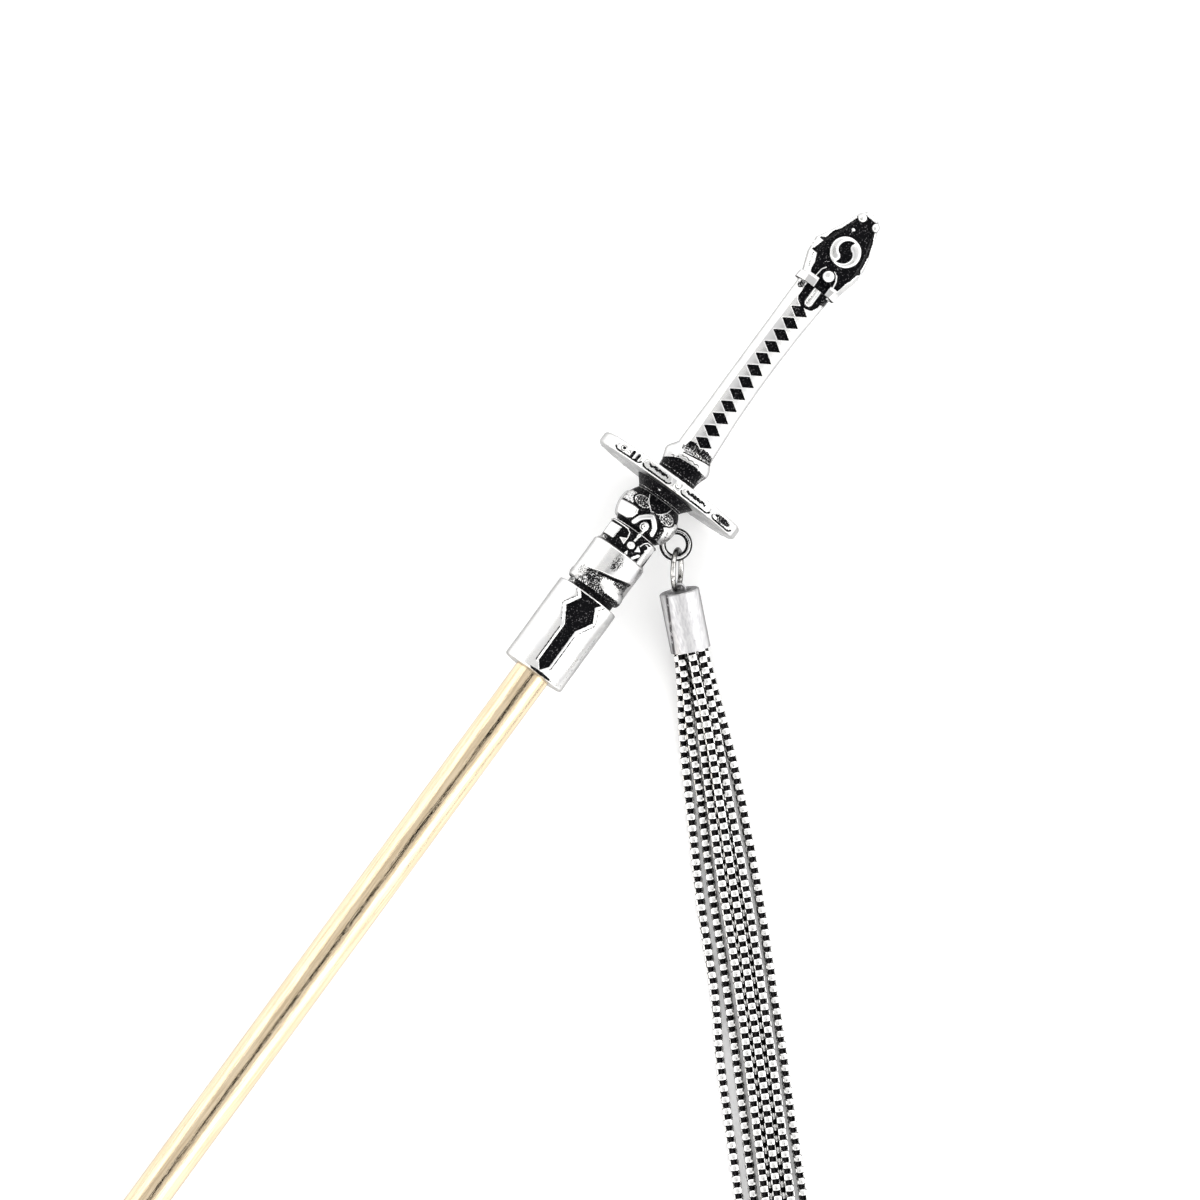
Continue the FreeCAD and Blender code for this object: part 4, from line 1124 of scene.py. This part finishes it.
def smooth_way(points):
    """Points read along a smooth curve that the corners pull."""
    curve = bpy.data.curves.new("way", "CURVE")
    curve.dimensions = "3D"
    curve.resolution_u = 24
    spline = curve.splines.new("NURBS")
    spline.points.add(len(points) - 1)
    for point, corner in zip(spline.points, points):
        point.co = (*corner, 1)
    spline.order_u = 3
    spline.use_endpoint_u = True
    holder = bpy.data.objects.new("way", curve)
    mesh = bpy.data.meshes.new_from_object(holder)
    way = np.array([tuple(v.co) for v in mesh.vertices])
    bpy.data.objects.remove(holder)
    bpy.data.meshes.remove(mesh)
    bpy.data.curves.remove(curve)
    return way


def link_shape():
    """One link in mm, long along x and tall along z, from a strip that is wide along y. Its
    outer face is a little domed. Gives places, faces and the painted shade of each place."""
    r = LINK_CORNER
    half_l, half_h = LINK_LENGTH / 2 - r, LINK_HEIGHT / 2 - r
    spine = []
    for side_x, side_z, start in ((1, 1, 0), (-1, 1, 90), (-1, -1, 180), (1, -1, 270)):
        for a in np.radians(start + np.array((0, 30, 60, 90))):
            c, s = cos(a), sin(a)
            spine.append((side_x * half_l + r * c, side_z * half_h + r * s, c, s))
    # Across the strip, out from its inner face, and painted shade, darker at the strip's edges and
    # None for the black inner face
    section = (
        (-0.5, 0.3, 0.22), (-0.42, 0.84, 0.12), (0.0, 1.0, 0.12), (0.42, 0.84, 0.12),
        (0.5, 0.3, 0.22), (0.42, 0.0, None), (-0.42, 0.0, None),
    )
    places, tarnish_and_shade = [], []
    for x, z, out_x, out_z in spine:
        for across, out, dark in section:
            depth = THICK * (out - 1)
            places.append((x + out_x * depth, STRIP * across, z + out_z * depth))
            # Painted shade: the inner face is black, and the link's ends darken
            tarnish_and_shade.append(1.0 if dark is None else dark + 1.7 * out_x**2)
    faces = grid_faces(len(spine) + 1, len(section)) % len(places)
    return np.array(places), faces, np.array(tarnish_and_shade)


def place_on(way, reached, s):
    """The place at the length s of a way."""
    return np.array([np.interp(s, reached, way[:, k]) for k in range(3)])


def link_axes(ahead, turn):
    """Along the way, across the strip and out of its face."""
    forward = Vector(ahead).normalized()
    side = Vector((0, 0, 1)).cross(forward).normalized()
    up = forward.cross(side)
    c, s = cos(turn), sin(turn)
    return np.array([forward, side * c + up * s, up * c - side * s])


def make_chain(number, chain, material):
    """Links turned by a quarter each, round a dark core of painted shade."""
    way = smooth_way(route(chain))
    reached = np.concatenate([[0], np.cumsum(np.linalg.norm(np.diff(way, axis=0), axis=1))])
    length, mouth = reached[-1], CAP_LENGTH - CHAIN_START
    shape, faces, dark = link_shape()
    count = int((length - LINK_LENGTH - LINK_PITCH) / LINK_PITCH)
    around = np.arange(SHADE_CORE_SIDES)[:, None] * 2 * pi / SHADE_CORE_SIDES
    links, black_fill = [], []
    for i in range(count):
        s = LINK_LENGTH / 2 + (chain.phase + i) * LINK_PITCH
        ahead = place_on(way, reached, s + 0.3) - place_on(way, reached, s - 0.3)
        turn = np.interp(s, (mouth, length / 2, length), chain.twist) + SWAY * sin(i * 2.3 + number)
        axes = link_axes(ahead, radians(turn + (90 if i % 2 else 0)))
        middle = place_on(way, reached, s)
        links.append(shape @ axes + middle)
        # The core of painted shade narrows almost to nothing at the first and last link
        radius = SHADE_CORE_R if 0 < i < count - 1 else SHADE_CORE_R * 0.05
        black_fill.append(middle + radius * (np.cos(around) * axes[1] + np.sin(around) * axes[2]))
    places = np.concatenate(links + black_fill) * MM
    places[:, 2] = np.maximum(places[:, 2], TABLE_GAP)
    quads = [faces + i * len(shape) for i in range(count)]
    quads.append(grid_faces(count, SHADE_CORE_SIDES, count * len(shape)))
    tarnish_and_shade = np.concatenate([np.tile(dark, count), np.full(count * SHADE_CORE_SIDES, 1.5)])
    return make_piece(
        f"box_chain_{number:02d}", places, np.concatenate(quads), material,
        f"chain_{number:02d}", tarnish_and_shade, sharp=50,
    )


# Stage, light and camera

def make_camera():
    up = PHOTO_LEVEL * sin(CAMERA_ELEVATION) + Vector((0, 0, cos(CAMERA_ELEVATION)))
    across = (PHOTO / 2 - GUARD_PIXEL[0]) * PIXEL * MM
    above = (GUARD_PIXEL[1] - PHOTO / 2) * PIXEL * MM
    target = GUARD_MIDDLE + PHOTO_RIGHT * across + up * above
    back = PHOTO_RIGHT.cross(up)
    camera = bpy.data.cameras.new("camera")
    camera.sensor_width = SENSOR
    camera.lens = SENSOR * CAMERA_DISTANCE / (PHOTO * PIXEL * MM)
    camera.clip_start, camera.clip_end = 0.05, 20
    turned = Matrix((PHOTO_RIGHT, up, back)).transposed().to_4x4()
    holder = linked("camera", camera)
    holder.matrix_world = Matrix.Translation(target + back * CAMERA_DISTANCE) @ turned
    bpy.context.scene.camera = holder


def make_floor():
    mesh = bpy.data.meshes.new("table")
    corners = [(x * TABLE_HALF, y * TABLE_HALF, 0) for x, y in ((-1, -1), (1, -1), (1, 1), (-1, 1))]
    mesh.from_pydata(corners, [], [(0, 1, 2, 3)])
    mesh.materials.append(floor_white())
    linked("table", mesh)


def make_light():
    """A white tent: softly grey overhead, brighter at the sides, with the dark gap overhead
    that the camera looks through."""
    world = bpy.data.worlds.new("tent")
    bpy.context.scene.world = world
    world.use_nodes = True
    sky = world.node_tree.nodes["Background"]
    way = add(sky, "TexCoord").outputs["Generated"]
    height = add(sky, "SeparateXYZ", {0: way}).outputs["Z"]
    sides = times(ramp(height, 0.62, 0.8, 2.05, 0.86), ramp(height, 0.0, 0.42, 0.6, 1.0))
    sides = times(sides, plus(dot(way, LEAN), 1.0))
    open_sky = ramp(dot(way, GAP), GAP_EDGE, GAP_CORE, 1.0, 0.0)
    join(sky, Strength=times(sides, open_sky), Color=(1.0, 0.998, 0.992, 1))


def main():
    bpy.context.scene.view_settings.view_transform = "Standard"
    make_camera()
    make_light()
    make_floor()
    make_shaft(stick_gold())
    silver = cast_silver()
    for make in (
        make_ferrule, make_throat, make_collar, make_lug, make_washer, make_guard,
        make_grip_collar, make_grip, make_pommel, make_knops,
    ):
        make(silver)
    chain_metal = chain_silver()
    for number, chain in enumerate(CHAINS, 1):
        make_chain(number, chain, chain_metal)
    NODES["jump_ring"].material_slots[0].material = ring_silver()
    NODES["end_cap"].material_slots[0].material = satin_silver()


main()
